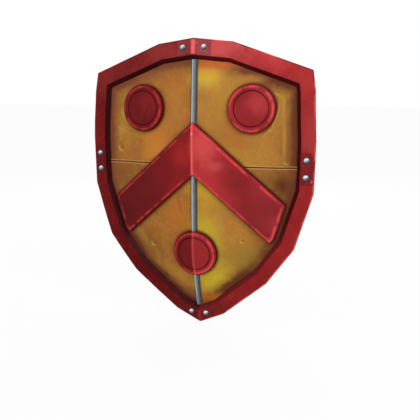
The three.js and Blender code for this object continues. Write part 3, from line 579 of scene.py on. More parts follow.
# Old dents [x, z, radius] in millimetres, each with painted shade in its hollow and a painted highlight on
# its rim's lower left.
dents = [(-213.7, 82.8, 8.0), (200.0, 222.0, 4.5), (122.0, -136.0, 6.0), (-121.0, -163.0, 7.0),
         (226.0, 60.0, 5.0)]
height = times(fine, 0.12)
for x, z, radius in dents:
    spot = placed(x, plate_front, z)
    x, z, radius = x / 1000, z / 1000, radius / 1000
    hollow, lip_highlight = grouped(dent, Vector=place, Place=spot, Radius=radius).outputs
    highlight_side = patch(place, x - radius * 0.8, z - radius * 0.9, radius * 2.0, radius * 2.0, 0.75, 0.3)
    colour = mixed(times(lip_highlight, highlight_side), colour, (0.54, 0.34, 0.045))
    colour = mixed(times(hollow, 0.6), colour, (0.26, 0.105, 0.035))
    height = minus(height, times(hollow, 0.3))
# Long curved scrapes [x, z, radius, width, low, high, strength, colour]: a bright one on each side, and a
# dark line beside the one on the right.
for x, z, radius, width, low, high, strength, paint in (
        (0.1012, 0.1986, 0.1042, 0.0042, 0.108, 0.215, 0.75, (0.52, 0.31, 0.045)),
        (0.1012, 0.1986, 0.1000, 0.0022, 0.108, 0.215, 0.60, (0.20, 0.078, 0.020)),
        (-0.0950, 0.1300, 0.1170, 0.0160, 0.085, 0.262, 0.75, (0.52, 0.31, 0.045))):
    colour = mixed(stroke_on(place, x, z, radius, width, low, high, strength), colour, paint)
scored = tone_of(scratches, place, 11.0)
colour = mixed(times(scored, 0.35), colour, (0.16, 0.06, 0.02))
height = minus(height, times(scored, 0.3))
finished(shader, colour, ranged(fine, 0.0, 1.0, 0.62, 0.46), height, 0.0012, 0.7)

dent_depth = 0.9
dent_spread = 0.6
lip_rise = 0.2
lip_place = 1.2
lip_spread = 0.25
dent_limit = 1.7
beaten_depth = 0.35
beaten_span = 26.0


def sunk(p):
    """How far the front of a plate lies below its flat face, from the planishing and from its dents."""
    depth = beaten_depth * (0.5 + 0.5 * noise.noise(Vector((p.x / beaten_span, p.y / beaten_span, 5.0))))
    for x, z, radius in dents:
        away = (p - Vector((x, z))).length / radius
        if away < dent_limit:
            depth += dent_depth * math.exp(-(away / dent_spread) ** 2)
            depth -= lip_rise * math.exp(-((away - lip_place) / lip_spread) ** 2)
    return depth


plate_path = inset(lambda i: plate_inset)
for level, low, high in levels:
    edge = [Vector((max(p.x, ridge_gap), p.y)) for p in plate_path if low < p.y < high]
    seam = low if level == "upper" else high
    cut, inner = Vector((reach_at(plate_path, seam), seam)), Vector((ridge_gap, seam))
    half = edge + [cut, inner] if level == "upper" else [inner, cut] + edge
    for side, sign in sides:
        ring = spaced([Vector((p.x * sign, p.y)) for p in half], plate_pitch)
        flat, triangles = filled(ring, plate_pitch, spots=dents)
        around, count = len(ring), len(flat)
        points = [placed(p.x, plate_front + sunk(p), p.y) for p in flat]
        points += [placed(p.x, plate_back, p.y) for p in flat]
        faces = [tuple(f) for f in triangles] + [tuple(i + count for i in reversed(f)) for f in triangles]
        faces += [(i, (i + 1) % around, (i + 1) % around + count, i + count) for i in range(around)]
        marks = {"foot": [depth_in(p, rim_foot) for p in flat] * 2,
                 "charge": [beside_charges(p) for p in flat] * 2}
        made_piece(f"gilded_plate_{level}_{side}", points, faces, marks, gold,
                   [f"field_plate_{level}_{side}"])

# Ridge strip.
# A half-round steel bar, hammered to follow the ridge and held down by the charges that cross it. It has
# the dull blue of forge scale, with a painted highlight along its crown.
strip_radius = 6.8
strip_back = 11.7
strip_steps = 20
strip_pitch = 9.0
strip_waver = 0.0004
strip_clearance = 0.3

steel, shader, place = finish_of("forged_steel", Metallic=0.45, Specular_IOR_Level=0.4)
tone = tone_of(brushwork, place, 60.0)
scored = tone_of(scratches, place, 40.0)
colour = mixed(tone, (0.11, 0.14, 0.17), (0.25, 0.30, 0.34))
colour = mixed(times(scored, 0.6), colour, (0.5, 0.57, 0.62))
finished(shader, colour, ranged(tone, 0.0, 1.0, 0.5, 0.34), minus(tone, scored), 0.0004, 0.5)

# The strip's blue, with a painted highlight along the crown, painted shade on the right flank and at both
# feet, and darker towards the point.
blued, shader, place = finish_of("blued_strip", Metallic=0.15, Specular_IOR_Level=0.2)
across, _, up = split(place)
tone = tone_of(brushwork, place, 50.0)
colour = mixed(tone, (0.16, 0.20, 0.235), (0.215, 0.27, 0.31))
crown_highlight = times(ranged(across, -0.0056, -0.0040), ranged(across, -0.0022, 0.0004, 0.95, 0.0))
colour = mixed(crown_highlight, colour, (0.46, 0.57, 0.63))
colour = mixed(ranged(across, 0.0004, 0.0032, 0.0, 0.9), colour, (0.098, 0.125, 0.148))
colour = mixed(ranged(across, 0.0042, 0.0060, 0.0, 0.9), colour, (0.056, 0.062, 0.074))
colour = mixed(ranged(across, -0.0067, -0.0056, 0.85, 0.0), colour, (0.085, 0.078, 0.080))
colour = mixed(ranged(up, -0.33, -0.26, 0.5, 0.0), colour, (0.075, 0.082, 0.095))
finished(shader, colour, ranged(tone, 0.0, 1.0, 0.5, 0.36), tone, 0.0003, 0.5)


def height_at(path, reach, at_point):
    """The height of a path at one reach from the ridge, near the top or near the point."""
    order = path[::-1] if at_point else path
    k = next(i for i, p in enumerate(order) if p.x > reach)
    share = (reach - order[k - 1].x) / (order[k].x - order[k - 1].x)
    return order[k - 1].y + (order[k].y - order[k - 1].y) * share


def tube(rings, closed=False):
    """Faces that join rings of the same number of points, with a face on each end unless it is closed."""
    around = len(rings[0])
    faces = []
    for i in range(len(rings) if closed else len(rings) - 1):
        a, b = i * around, (i + 1) % len(rings) * around
        faces += [(a + k, a + (k + 1) % around, b + (k + 1) % around, b + k) for k in range(around)]
    if not closed:
        last = (len(rings) - 1) * around
        faces += [tuple(range(around - 1, -1, -1)), tuple(range(last, last + around))]
    return [p for ring in rings for p in ring], faces


def geometry_tree(name, inputs):
    """A geometry tree with its named inputs, and the sockets at its two ends."""
    tree = bpy.data.node_groups.new(name, "GeometryNodeTree")
    tree.interface.new_socket("Geometry", in_out="OUTPUT", socket_type="NodeSocketGeometry")
    tree.interface.new_socket("Geometry", in_out="INPUT", socket_type="NodeSocketGeometry")
    named_inputs(tree, inputs)
    tree.interface.new_socket("Material", in_out="INPUT", socket_type="NodeSocketMaterial")
    return tree, tree.nodes.new("NodeGroupInput").outputs, tree.nodes.new("NodeGroupOutput").inputs


def surfaced(geometry, material, end):
    """The last nodes of every geometry tree: real geometry, smooth faces and a material."""
    real = node("GeometryNodeRealizeInstances", {0: geometry}).outputs[0]
    smooth = node("GeometryNodeSetShadeSmooth", {0: real}).outputs[0]
    done = node("GeometryNodeSetMaterial", {"Geometry": smooth, "Material": material}).outputs[0]
    linked(done, end["Geometry"])


def evaluated(piece):
    """The plain mesh of a piece with its modifiers applied, which then come off it."""
    mesh = bpy.data.meshes.new_from_object(piece.evaluated_get(bpy.context.evaluated_depsgraph_get()))
    piece.modifiers.clear()
    return mesh


def grown(name, points, edges, tree, values, facing=None):
    """The plain mesh that a geometry tree makes of points and edges."""
    mesh = bpy.data.meshes.new(name)
    mesh.from_pydata(points, edges, [])
    if facing:
        flat = [number for direction in facing for number in direction]
        mesh.attributes.new("facing", "FLOAT_VECTOR", "POINT").data.foreach_set("vector", flat)
    seed = added(name + "_seed", mesh)
    modifier = seed.modifiers.new("growth", "NODES")
    modifier.node_group = tree
    for socket in tree.interface.items_tree:
        if socket.in_out == "INPUT" and socket.name in values:
            modifier[socket.identifier] = values[socket.name]
    seed.update_tag()
    result = evaluated(seed)
    bpy.data.objects.remove(seed)
    return result


half_round, start, end = geometry_tree(
    "half_round_bar", {"Radius": 0.0, "Sides": 0, "Fold": 0.0, "Waver": 0.0})
path_of = node("GeometryNodeMeshToCurve", {0: start["Geometry"]}).outputs[0]
path_of = node("GeometryNodeSetCurveNormal", {"Curve": path_of, "Normal": (0.0, -1.0, 0.0)},
               mode="FREE").outputs[0]
arc = node("GeometryNodeCurveArc", {"Resolution": start["Sides"], "Radius": start["Radius"],
                                    "Start Angle": -math.pi / 2, "Sweep Angle": math.pi}).outputs[0]
arc = node("GeometryNodeSetSplineCyclic", {"Geometry": arc, "Cyclic": True}).outputs[0]
bar = node("GeometryNodeCurveToMesh", {"Curve": path_of, "Profile Curve": arc,
                                       "Fill Caps": True}).outputs[0]
# The bar is bent back on both sides of the ridge, as far as the plates are, and wavers a little on its way.
across, _, up = split(node("GeometryNodeInputPosition", tree=half_round).outputs[0])
waver = minus(noisy(node("ShaderNodeCombineXYZ", {2: up}).outputs[0], 43.0, 1.0), 0.5)
back = plus(times(maths("ABSOLUTE", across), start["Fold"]), times(waver, start["Waver"]))
back = node("ShaderNodeCombineXYZ", {1: back}).outputs[0]
bar = node("GeometryNodeSetPosition", {"Geometry": bar, "Offset": back}).outputs[0]
surfaced(bar, start["Material"], end)

foot_path = inset(lambda i: bar_width(i) + rim_bevel)
strip_top = height_at(foot_path, strip_radius, False) - strip_clearance
strip_low = height_at(foot_path, strip_radius, True) + strip_clearance
count = math.ceil((strip_top - strip_low) / strip_pitch)
crest = [placed(0, strip_back, strip_top + (strip_low - strip_top) * i / count) for i in range(count + 1)]
values = {"Radius": strip_radius / 1000, "Sides": strip_steps + 1, "Fold": side_setback / half_width,
          "Waver": strip_waver, "Material": blued}
strip_mesh = grown("ridge_bar", crest, [(i, i + 1) for i in range(count)], half_round, values)
joined_up("ridge_bar", strip_mesh, blued, ["ridge_strip"])

# Charges.
# A chevron and three roundels of pressed and painted steel, raised 14 mm off the gold. Each has cast studs
# that go through plate and board. The chevron folds over the ridge.
relief_back = 11.7
relief_front = -1.1
relief_bevel = 5.5
relief_shoulder = 9.0
relief_dome = 1.2
relief_pitch = 6.0
dome_run = 12.0
corner_round = 5.0
least_round = 0.6
least_turn = 0.2
strip_gap = 0.5
wall_levels = (9.2, 6.0)
inner_studs = 44.0
inner_stud_drop = 24.0
outer_studs = 0.633 * half_width
stud_profile = [(3.5, 9.0), (3.5, 29.0), (3.2, 29.5), (2.2, 29.9)]
stud_sides = 16
stud_marks = {"edge": 1.6, "depth": 30.0, "groove": 0.0}
groove_inset = 6.0
groove_profile = [(-1.0, 0.0, 0.0), (0.0, 0.7, 0.6), (1.1, 2.0, 1.0), (2.2, 0.6, 0.6), (3.4, -0.2, 0.0)]
dish_rise = 2.8
dish_reach = 30.0
dish_steps = (6.0, 12.0, 19.0, 27.0)
# Patches of painted sheen and painted shade on the charges.
charge_sheen_and_shade = [
    (0.030, 0.095, 0.050, 0.055, 0.75, (0.66, 0.075, 0.075)),
    (0.175, -0.070, 0.070, 0.070, 0.8, (0.25, 0.021, 0.024)),
    (-0.030, 0.070, 0.035, 0.040, 0.6, (0.42, 0.020, 0.023)),
    (0.112, 0.012, 0.040, 0.042, 0.65, (0.215, 0.0145, 0.0170)),
    (0.205, -0.085, 0.034, 0.038, 0.6, (0.34, 0.0300, 0.0340)),
    (0.052, 0.048, 0.036, 0.020, 0.5, (0.62, 0.0900, 0.0900)),
    (-0.085, 0.030, 0.036, 0.034, 0.55, (0.185, 0.0105, 0.0120)),
    (-0.140, -0.020, 0.034, 0.030, 0.5, (0.175, 0.0110, 0.0130)),
    (-0.205, -0.085, 0.050, 0.045, 0.6, (0.090, 0.0060, 0.0080)),
    (0.160, 0.200, 0.045, 0.045, 0.6, (0.50, 0.050, 0.052)),
    (-0.130, 0.195, 0.040, 0.040, 0.5, (0.25, 0.016, 0.019))]

charge_red, shader, place = finish_of("charge_red", Specular_IOR_Level=0.04)
across, _, up = split(place)
tone = tone_of(brushwork, place, 8.0)
fine = tone_of(brushwork, place, 36.0)
edge = mark(place, "edge")
depth = mark(place, "depth")
# Painted light and shade: the right half lit and the left shaded, brighter near the ridge and above the
# middle.
right = ranged(across, -0.0015, 0.0015)
off_ridge = maths("ABSOLUTE", across)
near = plus(ranged(off_ridge, 0.0, 0.15, 0.8, 0.0), times(tone, 0.3))
near = times(near, ranged(up, -0.10, 0.0, 0.3, 1.0))
shaded_left_red = mixed(near, (0.125, 0.0085, 0.0100), (0.27, 0.0135, 0.0155))
lit_right_red = mixed(near, (0.215, 0.0155, 0.0180), (0.50, 0.036, 0.040))
colour = patched(mixed(right, shaded_left_red, lit_right_red), place, charge_sheen_and_shade, 0.7)
# The rounded edges carry a painted highlight, brighter on the right. Painted shade darkens their feet and the
# groove.
edge_highlight = mixed(right, (0.43, 0.018, 0.022), (0.66, 0.050, 0.055))
colour = mixed(times(wear_and_highlight(place, edge, 6.6, 4.2), 0.85), colour, edge_highlight)
colour = mixed(times(wear_and_highlight(place, edge, 6.0, 1.4), 0.3), colour, (0.78, 0.16, 0.15))
colour = mixed(ranged(depth, -0.5, 5.0, 0.0, 0.9), colour, (0.040, 0.0025, 0.004))
colour = mixed(ranged(mark(place, "groove"), 0.2, 0.9, 0.0, 0.85), colour, (0.05, 0.003, 0.004))
# A painted highlight runs pale along the crest over the ridge, and the paint is chipped there above the
# middle.
crest = times(ranged(off_ridge, 0.0016, 0.0040, 1.0, 0.0), ranged(depth, 0.0, 3.0, 1.0, 0.0))
colour = mixed(times(crest, ranged(up, -0.15, 0.05, 0.35, 0.95)), colour, (0.82, 0.105, 0.105))
chipped = times(crest, ranged(noisy(place, 90.0), 0.62, 0.67), ranged(up, -0.10, 0.0))
colour = mixed(chipped, colour, (0.86, 0.56, 0.53))
scored = tone_of(scratches, place, 16.0)
colour = mixed(times(scored, 0.25), colour, (0.05, 0.004, 0.005))
# The studs behind are bare steel.
bare = ranged(depth, 20.0, 22.0)
colour = mixed(bare, colour, (0.20, 0.235, 0.26))
linked(times(bare, 0.5), shader.inputs["Metallic"])
finished(shader, colour, ranged(fine, 0.0, 1.0, 0.52, 0.4), minus(fine, scored), 0.0004, 0.5)


def moved_in(ring, amount):
    """Each point of a ring that turns clockwise, moved inwards along its mitre."""
    out = []
    for i, point in enumerate(ring):
        u = (point - ring[i - 1]).normalized()
        v = (ring[(i + 1) % len(ring)] - point).normalized()
        n, m = Vector((u.y, -u.x)), Vector((v.y, -v.x))
        out.append(point + (n + m) * (amount / (1 + n.dot(m))))
    return out


def ring_at(outline, amount, radius, pitch, steps=4):
    """The outline moved in, its outward corners rounded and its sides cut short. The count stays the same."""
    ring = moved_in(outline, amount)
    shares = [k / steps for k in range(steps + 1)]
    arcs = []
    for i, corner in enumerate(ring):
        before, after = ring[i - 1], ring[(i + 1) % len(ring)]
        u, v = (before - corner).normalized(), (after - corner).normalized()
        turn = math.pi - u.angle(v)
        if abs(corner.x) < 1e-6 or turn < least_turn:
            arcs.append([corner])
            continue
        cut = max(radius - amount, least_round) * math.tan(turn / 2)
        a, b = corner + u * cut, corner + v * cut
        arcs.append([a.lerp(corner, share).lerp(corner.lerp(b, share), share) for share in shares])
    path = []
    for i, arc in enumerate(arcs):
        after = (i + 1) % len(arcs)
        count = max(1, math.ceil((outline[after] - outline[i]).length / pitch))
        path += arc + [arc[-1].lerp(arcs[after][0], k / count) for k in range(1, count)]
    return path


def over_strip(x, depth):
    """The depth of a charge's foot, lifted over the strip where it crosses the ridge."""
    reach = strip_radius + strip_gap
    return min(depth, strip_back - math.sqrt(reach * reach - x * x)) if abs(x) < reach else depth


def circle(x, z, radius, count):
    """Points [x, z] round a centre."""
    turns = [2 * math.pi * i / count for i in range(count)]
    return [(x + radius * math.cos(turn), z + radius * math.sin(turn)) for turn in turns]


def raised(name, plan, profile, studs, replaced, creased):
    """A charge: its edge rises through a profile of [inset, depth, groove], its front is filled in, and its
    studs stand on its back."""
    rings, marks = [], {"edge": [], "depth": [], "groove": []}
    for amount, depth, groove in profile:
        ring = ring_at(plan, amount, corner_round, relief_pitch)
        rings.append([placed(p.x, over_strip(p.x, depth) if depth > 0 else depth, p.y) for p in ring])
        for label, value in (("edge", amount), ("depth", depth), ("groove", groove)):
            marks[label] += [value] * len(ring)
    points, faces = tube(rings)
    taken = len(ring)
    before = len(points) - taken
    flat, triangles = filled(ring, relief_pitch, creased)
    for p in flat[taken:]:
        within = depth_in(p, ring)
        depth = profile[-1][1] - relief_dome * (1 - math.exp(-within / dome_run))
        points.append(placed(p.x, depth, p.y))
        for label, value in (("edge", profile[-1][0] + within), ("depth", depth), ("groove", 0.0)):
            marks[label].append(value)
    faces = faces[:-1] + [tuple(before + i for i in triangle) for triangle in triangles]
    for x, z in studs:
        stud, stud_faces = tube([[placed(a, depth, b) for a, b in circle(x, z, radius, stud_sides)]
                                 for radius, depth in stud_profile])
        faces += [tuple(i + len(points) for i in face) for face in stud_faces]
        points += stud
        for label, value in stud_marks.items():
            marks[label] += [value] * len(stud)
    made_piece(name, points, faces, marks, charge_red, replaced)


def quarter(run, rise, front, steps=6):
    """The rounding from a wall to a front face, as [inset, depth, groove]."""
    turns = [math.pi / 2 * i / steps for i in range(steps + 1)]
    return [(run * (1 - math.cos(t)), front + rise * (1 - math.sin(t)), 0.0) for t in turns]


edge_profile = [(0.0, level, 0.0) for level in (relief_back, *wall_levels)]
edge_profile += quarter(relief_shoulder, relief_bevel, relief_front)
middle = (chevron_apex + chevron_throat) / 2
studs = []
for side, sign in sides:
    studs.append((sign * inner_studs, chevron_apex - chevron_slope * inner_studs - inner_stud_drop))
    studs.append((sign * outer_studs, middle - chevron_slope * outer_studs))
raised("chevron_relief", chevron_plan, edge_profile, studs, ["chevron"], True)

# A groove and a dished middle inside each roundel's rounded edge.
groove_at = relief_shoulder + groove_inset
roundel_profile = edge_profile + [(groove_at + run, relief_front + depth, groove)
                                  for run, depth, groove in groove_profile]
dish_at, dish_depth, _ = roundel_profile[-1]
for run in dish_steps:
    bowl = dish_rise * math.sin(run / dish_reach * math.pi / 2)
    roundel_profile.append((dish_at + run, dish_depth - bowl, 0.0))
for label, spot in roundel_spots.items():
    turns = [2 * math.pi * i / roundel_sides for i in range(roundel_sides)]
    plan = [spot + Vector((math.sin(turn), math.cos(turn))) * roundel_radius for turn in turns]
    raised(f"roundel_relief_{label}", plan, roundel_profile, [(spot.x, spot.y)], [f"roundel_{label}"],
           label == "lower")

# Rim.
# Four lengths of heavy steel bar with a thin lip outside, a wall set in round the boards and a flange
# behind, forged in one section and mitred. The paint is red, with a painted highlight on the lip and
# painted shade on the inner wall.
# The section is [inset, depth], where "w" counts the inset from the width of the bar.
rim_section = [(0.0, 1.6), (0.5, 0.5), (1.6, 0.0), (8.0, 0.1), (16.0, 0.1), (24.0, 0.1),
               ("w", -1.6, 0.0), ("w", -0.4, 0.35), ("w", 0.4, 1.1), ("w", 5.0, 6.2), ("w", 10.0, 11.7),
               (11.0, 11.7), (11.0, 26.1), (32.0, 26.1), (32.0, 28.6), (9.6, 28.6), (8.3, 28.2), (8.0, 27.0),
               (8.0, 14.0), (4.0, 10.0), (0.2, 6.2), (0.0, 5.6)]
rim_pitch = 11.0
mitre_gap = 0.04
corners_above_seam = 5
beaten_face = 0.1
beaten_rise = 0.35
rim_light_and_shade = [
    (0.280, 0.000, 0.070, 0.110, 0.8, (0.30, 0.0180, 0.0190)),
    (0.285, 0.130, 0.050, 0.100, 0.75, (0.37, 0.0420, 0.0400)),
    (0.270, 0.250, 0.080, 0.070, 0.85, (0.42, 0.0330, 0.0330)),
    (0.170, 0.300, 0.110, 0.060, 0.9, (0.56, 0.0510, 0.0510)),
    (0.060, 0.325, 0.110, 0.055, 1.0, (0.56, 0.0780, 0.0800)),
    (0.150, -0.240, 0.120, 0.100, 0.8, (0.23, 0.0135, 0.0140)),
    (0.050, -0.330, 0.085, 0.055, 0.85, (0.18, 0.0130, 0.0135)),
    (-0.285, 0.110, 0.050, 0.110, 0.8, (0.185, 0.0085, 0.0085)),
    (-0.080, 0.320, 0.120, 0.055, 0.9, (0.28, 0.0300, 0.0300)),
    (-0.200, 0.280, 0.120, 0.060, 0.7, (0.20, 0.0180, 0.0180)),
    (-0.270, 0.250, 0.050, 0.050, 0.6, (0.245, 0.0250, 0.0240)),
    (-0.180, -0.230, 0.220, 0.200, 0.9, (0.120, 0.0030, 0.0030))]

rim_red, shader, place = finish_of("rim_red", Metallic=0.05, Specular_IOR_Level=0.04)
across, _, up = split(place)
tone = tone_of(brushwork, place, 9.0)
fine = tone_of(brushwork, place, 34.0)
run_in = mark(place, "inset")
depth = mark(place, "depth")
right = ranged(across, -0.002, 0.002)
# Painted light: palest at the top on the right, darkest at the lower left.
colour = patched(mixed(right, (0.150, 0.0065, 0.0065), (0.29, 0.0160, 0.0170)), place, rim_light_and_shade, 0.8)
colour = mixed(ranged(tone, 0.5, 1.0, 0.0, 0.22), colour, (0.10, 0.007, 0.009))
colour = mixed(ranged(fine, 0.55, 1.0, 0.0, 0.10), colour, (0.52, 0.040, 0.042))
# The lip carries a painted highlight on its front, but along the top in places a thin dark line takes its
# place.
streaked = ranged(noisy(place, 10.0, 2.0), 0.47, 0.53)
dark_top = times(ranged(up, 0.232, 0.250), streaked)
lit_side = times(maths("MAXIMUM", right, ranged(up, 0.0, 0.06)), ranged(depth, 2.5, 5.0, 1.0, 0.3),
                 minus(1.0, dark_top))
edge_highlight = mixed(right, (0.50, 0.0150, 0.0200), (0.80, 0.0650, 0.0700))
colour = mixed(times(wear_and_highlight(place, run_in, 0.4, 3.2), lit_side), colour, edge_highlight)
outline = times(ranged(run_in, 1.4, 3.0, 0.85, 0.0), dark_top)
colour = mixed(outline, colour, mixed(right, (0.055, 0.008, 0.008), (0.16, 0.018, 0.018)))
gouged = times(ranged(run_in, 0.6, 2.2, 1.0, 0.0), ranged(noisy(place, 22.0), 0.53, 0.6))
colour = mixed(times(gouged, ranged(up, -0.05, 0.05, 0.2, 0.6)), colour, (0.075, 0.002, 0.003))
# The inner wall lies in shade, darkest at the top.
wall = times(ranged(depth, 0.3, 1.6), ranged(run_in, 20.0, 22.0), ranged(depth, 12.0, 14.0, 1.0, 0.0))
low_red = mixed(right, (0.046, 0.0065, 0.0070), (0.150, 0.0110, 0.0130))
high_red = mixed(right, (0.026, 0.0018, 0.0020), (0.052, 0.0028, 0.0032))
wall_red = mixed(ranged(up, -0.16, -0.02, 1.0, 0.0), high_red, low_red)
colour = mixed(times(wall, 0.96), colour, wall_red)
# The flange behind is duller, and rubbed to the steel at its free edge.
behind = ranged(depth, 12.0, 14.0)
colour = mixed(times(behind, 0.5), colour, (0.12, 0.012, 0.014))
colour = mixed(times(behind, wear_and_highlight(place, run_in, 32.0, 2.4), 0.7), colour, (0.36, 0.045, 0.042))
colour = mixed(times(behind, wear_and_highlight(place, run_in, 32.0, 0.9), 0.8), colour, (0.17, 0.16, 0.165))
scored = tone_of(scratches, place, 12.0)
colour = mixed(times(scored, 0.35), colour, (0.06, 0.005, 0.006))
height = minus(fine, times(scored, 1.4))
finished(shader, colour, ranged(fine, 0.0, 1.0, 0.52, 0.4), height, 0.0005, 0.6)


def section_inset(entry, width):
    """The inset of a point of the section, on a bar of one width."""
    return width + entry[1] if entry[0] == "w" else entry[0]


def hammered(p, depth):
    """A depth of the section: the face of the bar is uneven from the hammer."""
    if depth != beaten_face:
        return depth
    return depth + beaten_rise * noise.noise(Vector((p.x / beaten_span, p.y / beaten_span, 3.0)))


paths = [inset(lambda i, e=e: section_inset(e, bar_width(i))) for e in rim_section]
for level, low, high in levels:
    stations = []
    for path in paths:
        if level == "upper":
            kept = path[:corners_above_seam] + [Vector((reach_at(path, low), low))]
        else:
            kept = [Vector((reach_at(path, high), high))] + path[corners_above_seam:]
        stations.append([Vector((max(p.x, mitre_gap), p.y)) for p in kept])
    last = len(stations[0]) - 2
    for side, sign in sides:
        rings, marks = [], {"inset": [], "depth": []}
        for s in range(last + 1):
            steps = max(1, math.ceil((stations[0][s + 1] - stations[0][s]).length / rim_pitch))
            for i in range(steps + (s == last)):
                ring = [line[s].lerp(line[s + 1], i / steps) for line in stations]
                rings.append([placed(sign * p.x, hammered(p, entry[-1]), p.y)
                              for entry, p in zip(rim_section, ring)])
                marks["inset"] += [section_inset(entry, rim_width) for entry in rim_section]
                marks["depth"] += [entry[-1] for entry in rim_section]
        points, faces = tube(rings)
        made_piece(f"rim_bar_{level}_{side}", points, faces, marks, rim_red,
                   [f"rim_{level}_{side}"], sharp=50)

# Joint covers.
# Thin steel plates over the four joints of the rim, under the rivets. They are painted a darker red, and
# the top and bottom ones are folded sharply over the ridge, where a painted highlight runs pale red.
cover_red, shader, place = finish_of("cover_red", Metallic=0.05, Specular_IOR_Level=0.04)
across, _, up = split(place)
tone = tone_of(brushwork, place, 22.0)
right = ranged(across, -0.002, 0.002)
high = ranged(up, 0.1, 0.25)
# Painted light: the right side is lit and the left side shaded.
shaded_left_red = mixed(high, (0.140, 0.0095, 0.0100), (0.285, 0.0410, 0.0410))
lit_right_red = mixed(high, (0.190, 0.0150, 0.0165), (0.345, 0.0540, 0.0560))
colour = mixed(right, shaded_left_red, lit_right_red)
colour = mixed(ranged(tone, 0.4, 1.0, 0.0, 0.3), colour, (0.12, 0.012, 0.015))
# A painted highlight along the crease over the ridge.
crest = ranged(maths("ABSOLUTE", across), 0.0030, 0.0066, 1.0, 0.0)
above = ranged(up, -0.3, -0.2)
crest_highlight_red = mixed(above, (0.42, 0.022, 0.026), (0.86, 0.130, 0.135))
colour = mixed(times(crest, ranged(above, 0.0, 1.0, 0.5, 0.95)), colour, crest_highlight_red)
chipped = ranged(noisy(place, 120.0), 0.63, 0.67, 0.0, 0.6)
colour = mixed(times(chipped, right), colour, (0.55, 0.20, 0.20))
finished(shader, colour, ranged(tone, 0.0, 1.0, 0.55, 0.42), tone, 0.0003, 0.4)
dressed(cover_red, "joint_cover_top", "joint_cover_point", "joint_cover_right", "joint_cover_left")

# Rim rivets.
# Eight rivets of a paler, bluer steel than the rest. Each has a domed head on a cover, with a painted
# highlight on its upper left and painted shade on its lower right, and a tail peened flush into the flange
# behind.
head_radius = 0.0068
head_height = 0.005
head_seat = -1.9
tail_radius = 0.0049
tail_height = 0.0007
tail_seat = 28.2
rivet_inset = 19.0
rivet_reach_top = 27.0
rivet_reach_point = 20.0
rivet_pitch = 40.0
highlight_from = Vector((-0.45, 0.0, 0.9))

rivet_steel, shader, place = finish_of("rivet_steel", Metallic=0.25, Specular_IOR_Level=0.4)
tone = tone_of(brushwork, place, 160.0)
# Painted light: a highlight on each head's upper left, shade on its lower right.
turn = plus(mark(place, "turn"), times(minus(tone, 0.5), 0.25))
colour = mixed(ranged(turn, -0.75, 0.1), (0.032, 0.075, 0.095), (0.21, 0.35, 0.40))
colour = mixed(ranged(turn, -0.02, 0.45), colour, (0.76, 0.95, 0.98))
finished(shader, colour, ranged(tone, 0.0, 1.0, 0.45, 0.3), tone, 0.0003, 0.5)

domes, start, end = geometry_tree("domed_heads", {"Radius": 0.0, "Height": 0.0})
ball = node("GeometryNodeMeshUVSphere", {"Segments": 20, "Rings": 10, "Radius": 1.0}, tree=domes).outputs[0]
x, y, z = split(node("GeometryNodeInputPosition", tree=domes).outputs[0])
shape = node("ShaderNodeCombineXYZ", {0: times(x, start["Radius"]), 1: times(y, start["Radius"]),
                                      2: times(maths("MAXIMUM", z, 0.0), start["Height"])}).outputs[0]
head = node("GeometryNodeSetPosition", {"Geometry": ball, "Position": shape}).outputs[0]
faced = node("GeometryNodeInputNamedAttribute", {"Name": "facing"}, tree=domes,
             data_type="FLOAT_VECTOR").outputs[0]
turned = node("FunctionNodeAlignRotationToVector", {"Vector": faced}, axis="Z").outputs[0]
heads = node("GeometryNodeInstanceOnPoints", {"Points": start["Geometry"], "Instance": head,
                                              "Rotation": turned}).outputs[0]
surfaced(heads, start["Material"], end)


def outward(x, z, back=False):
    """The direction that the front faces at a point of the flat drawing, or the back."""
    step = 0.5
    u = placed(x + step, 0, z) - placed(x - step, 0, z)
    v = placed(x, 0, z + step) - placed(x, 0, z - step)
    out = u.cross(v).normalized()
    out = -out if out.y > 0 else out
    return -out if back else out


def dome_set(name, spots, depth, radius, height, material, back):
    """Domes on spots [x, z] of the flat drawing, at one depth, turned to the front or to the back."""
    points = [placed(x, depth, z) for x, z in spots]
    facing = [outward(x, z, back) for x, z in spots]
    return grown(name, points, [], domes, {"Radius": radius, "Height": height, "Material": material}, facing)


def merged(name, *meshes):
    """Several meshes made one."""
    joined = bmesh.new()
    for mesh in meshes:
        joined.from_mesh(mesh)
    result = bpy.data.meshes.new(name)
    joined.to_mesh(result)
    joined.free()
    return result


def marked_for_highlight(piece, centres, radius):
    """Marks how far each point of a dome is turned to its upper left, where the heads get a painted
    highlight.
    """
    turns = []
    for vertex in piece.data.vertices:
        nearest = min(centres, key=lambda c: (c - vertex.co).length_squared)
        turns.append((vertex.co - nearest).dot(highlight_from) / radius)
    piece.data.attributes.new("turn", "FLOAT", "POINT").data.foreach_set("value", turns)


rivet_line = inset(lambda i: rivet_inset)
above_seam, below_seam = seam_height + rivet_pitch / 2, seam_height - rivet_pitch / 2
spots_of = {
    "top": (rivet_reach_top, height_at(rivet_line, rivet_reach_top, False)),
    "side_upper": (reach_at(rivet_line, above_seam), above_seam),
    "side_lower": (reach_at(rivet_line, below_seam), below_seam),
    "bottom": (rivet_reach_point, height_at(rivet_line, rivet_reach_point, True)),
}
spots = [(sign * x, z) for x, z in spots_of.values() for side, sign in sides]
heads = dome_set("heads", spots, head_seat, head_radius, head_height, rivet_steel, False)
tails = dome_set("tails", spots, tail_seat, tail_radius, tail_height, rivet_steel, True)
rivets = joined_up("rim_rivets", merged("rim_rivets", heads, tails), rivet_steel,
                   [f"rim_rivet_{label}_{side}" for label in spots_of for side, sign in sides])
marked_for_highlight(rivets, [placed(x, head_seat, z) for x, z in spots], head_radius)

# Roves, foot plates and eyes.
# Small forged fittings behind: washers under the charges' studs, plates under the feet of the straps, and
# round-based eyes with a lug for each carrying ring. Each is a copy of its CAD solid with its corners filed.
fitting_ease = 0.0005
fitting_corner = math.radians(50)
most_corners = 10000


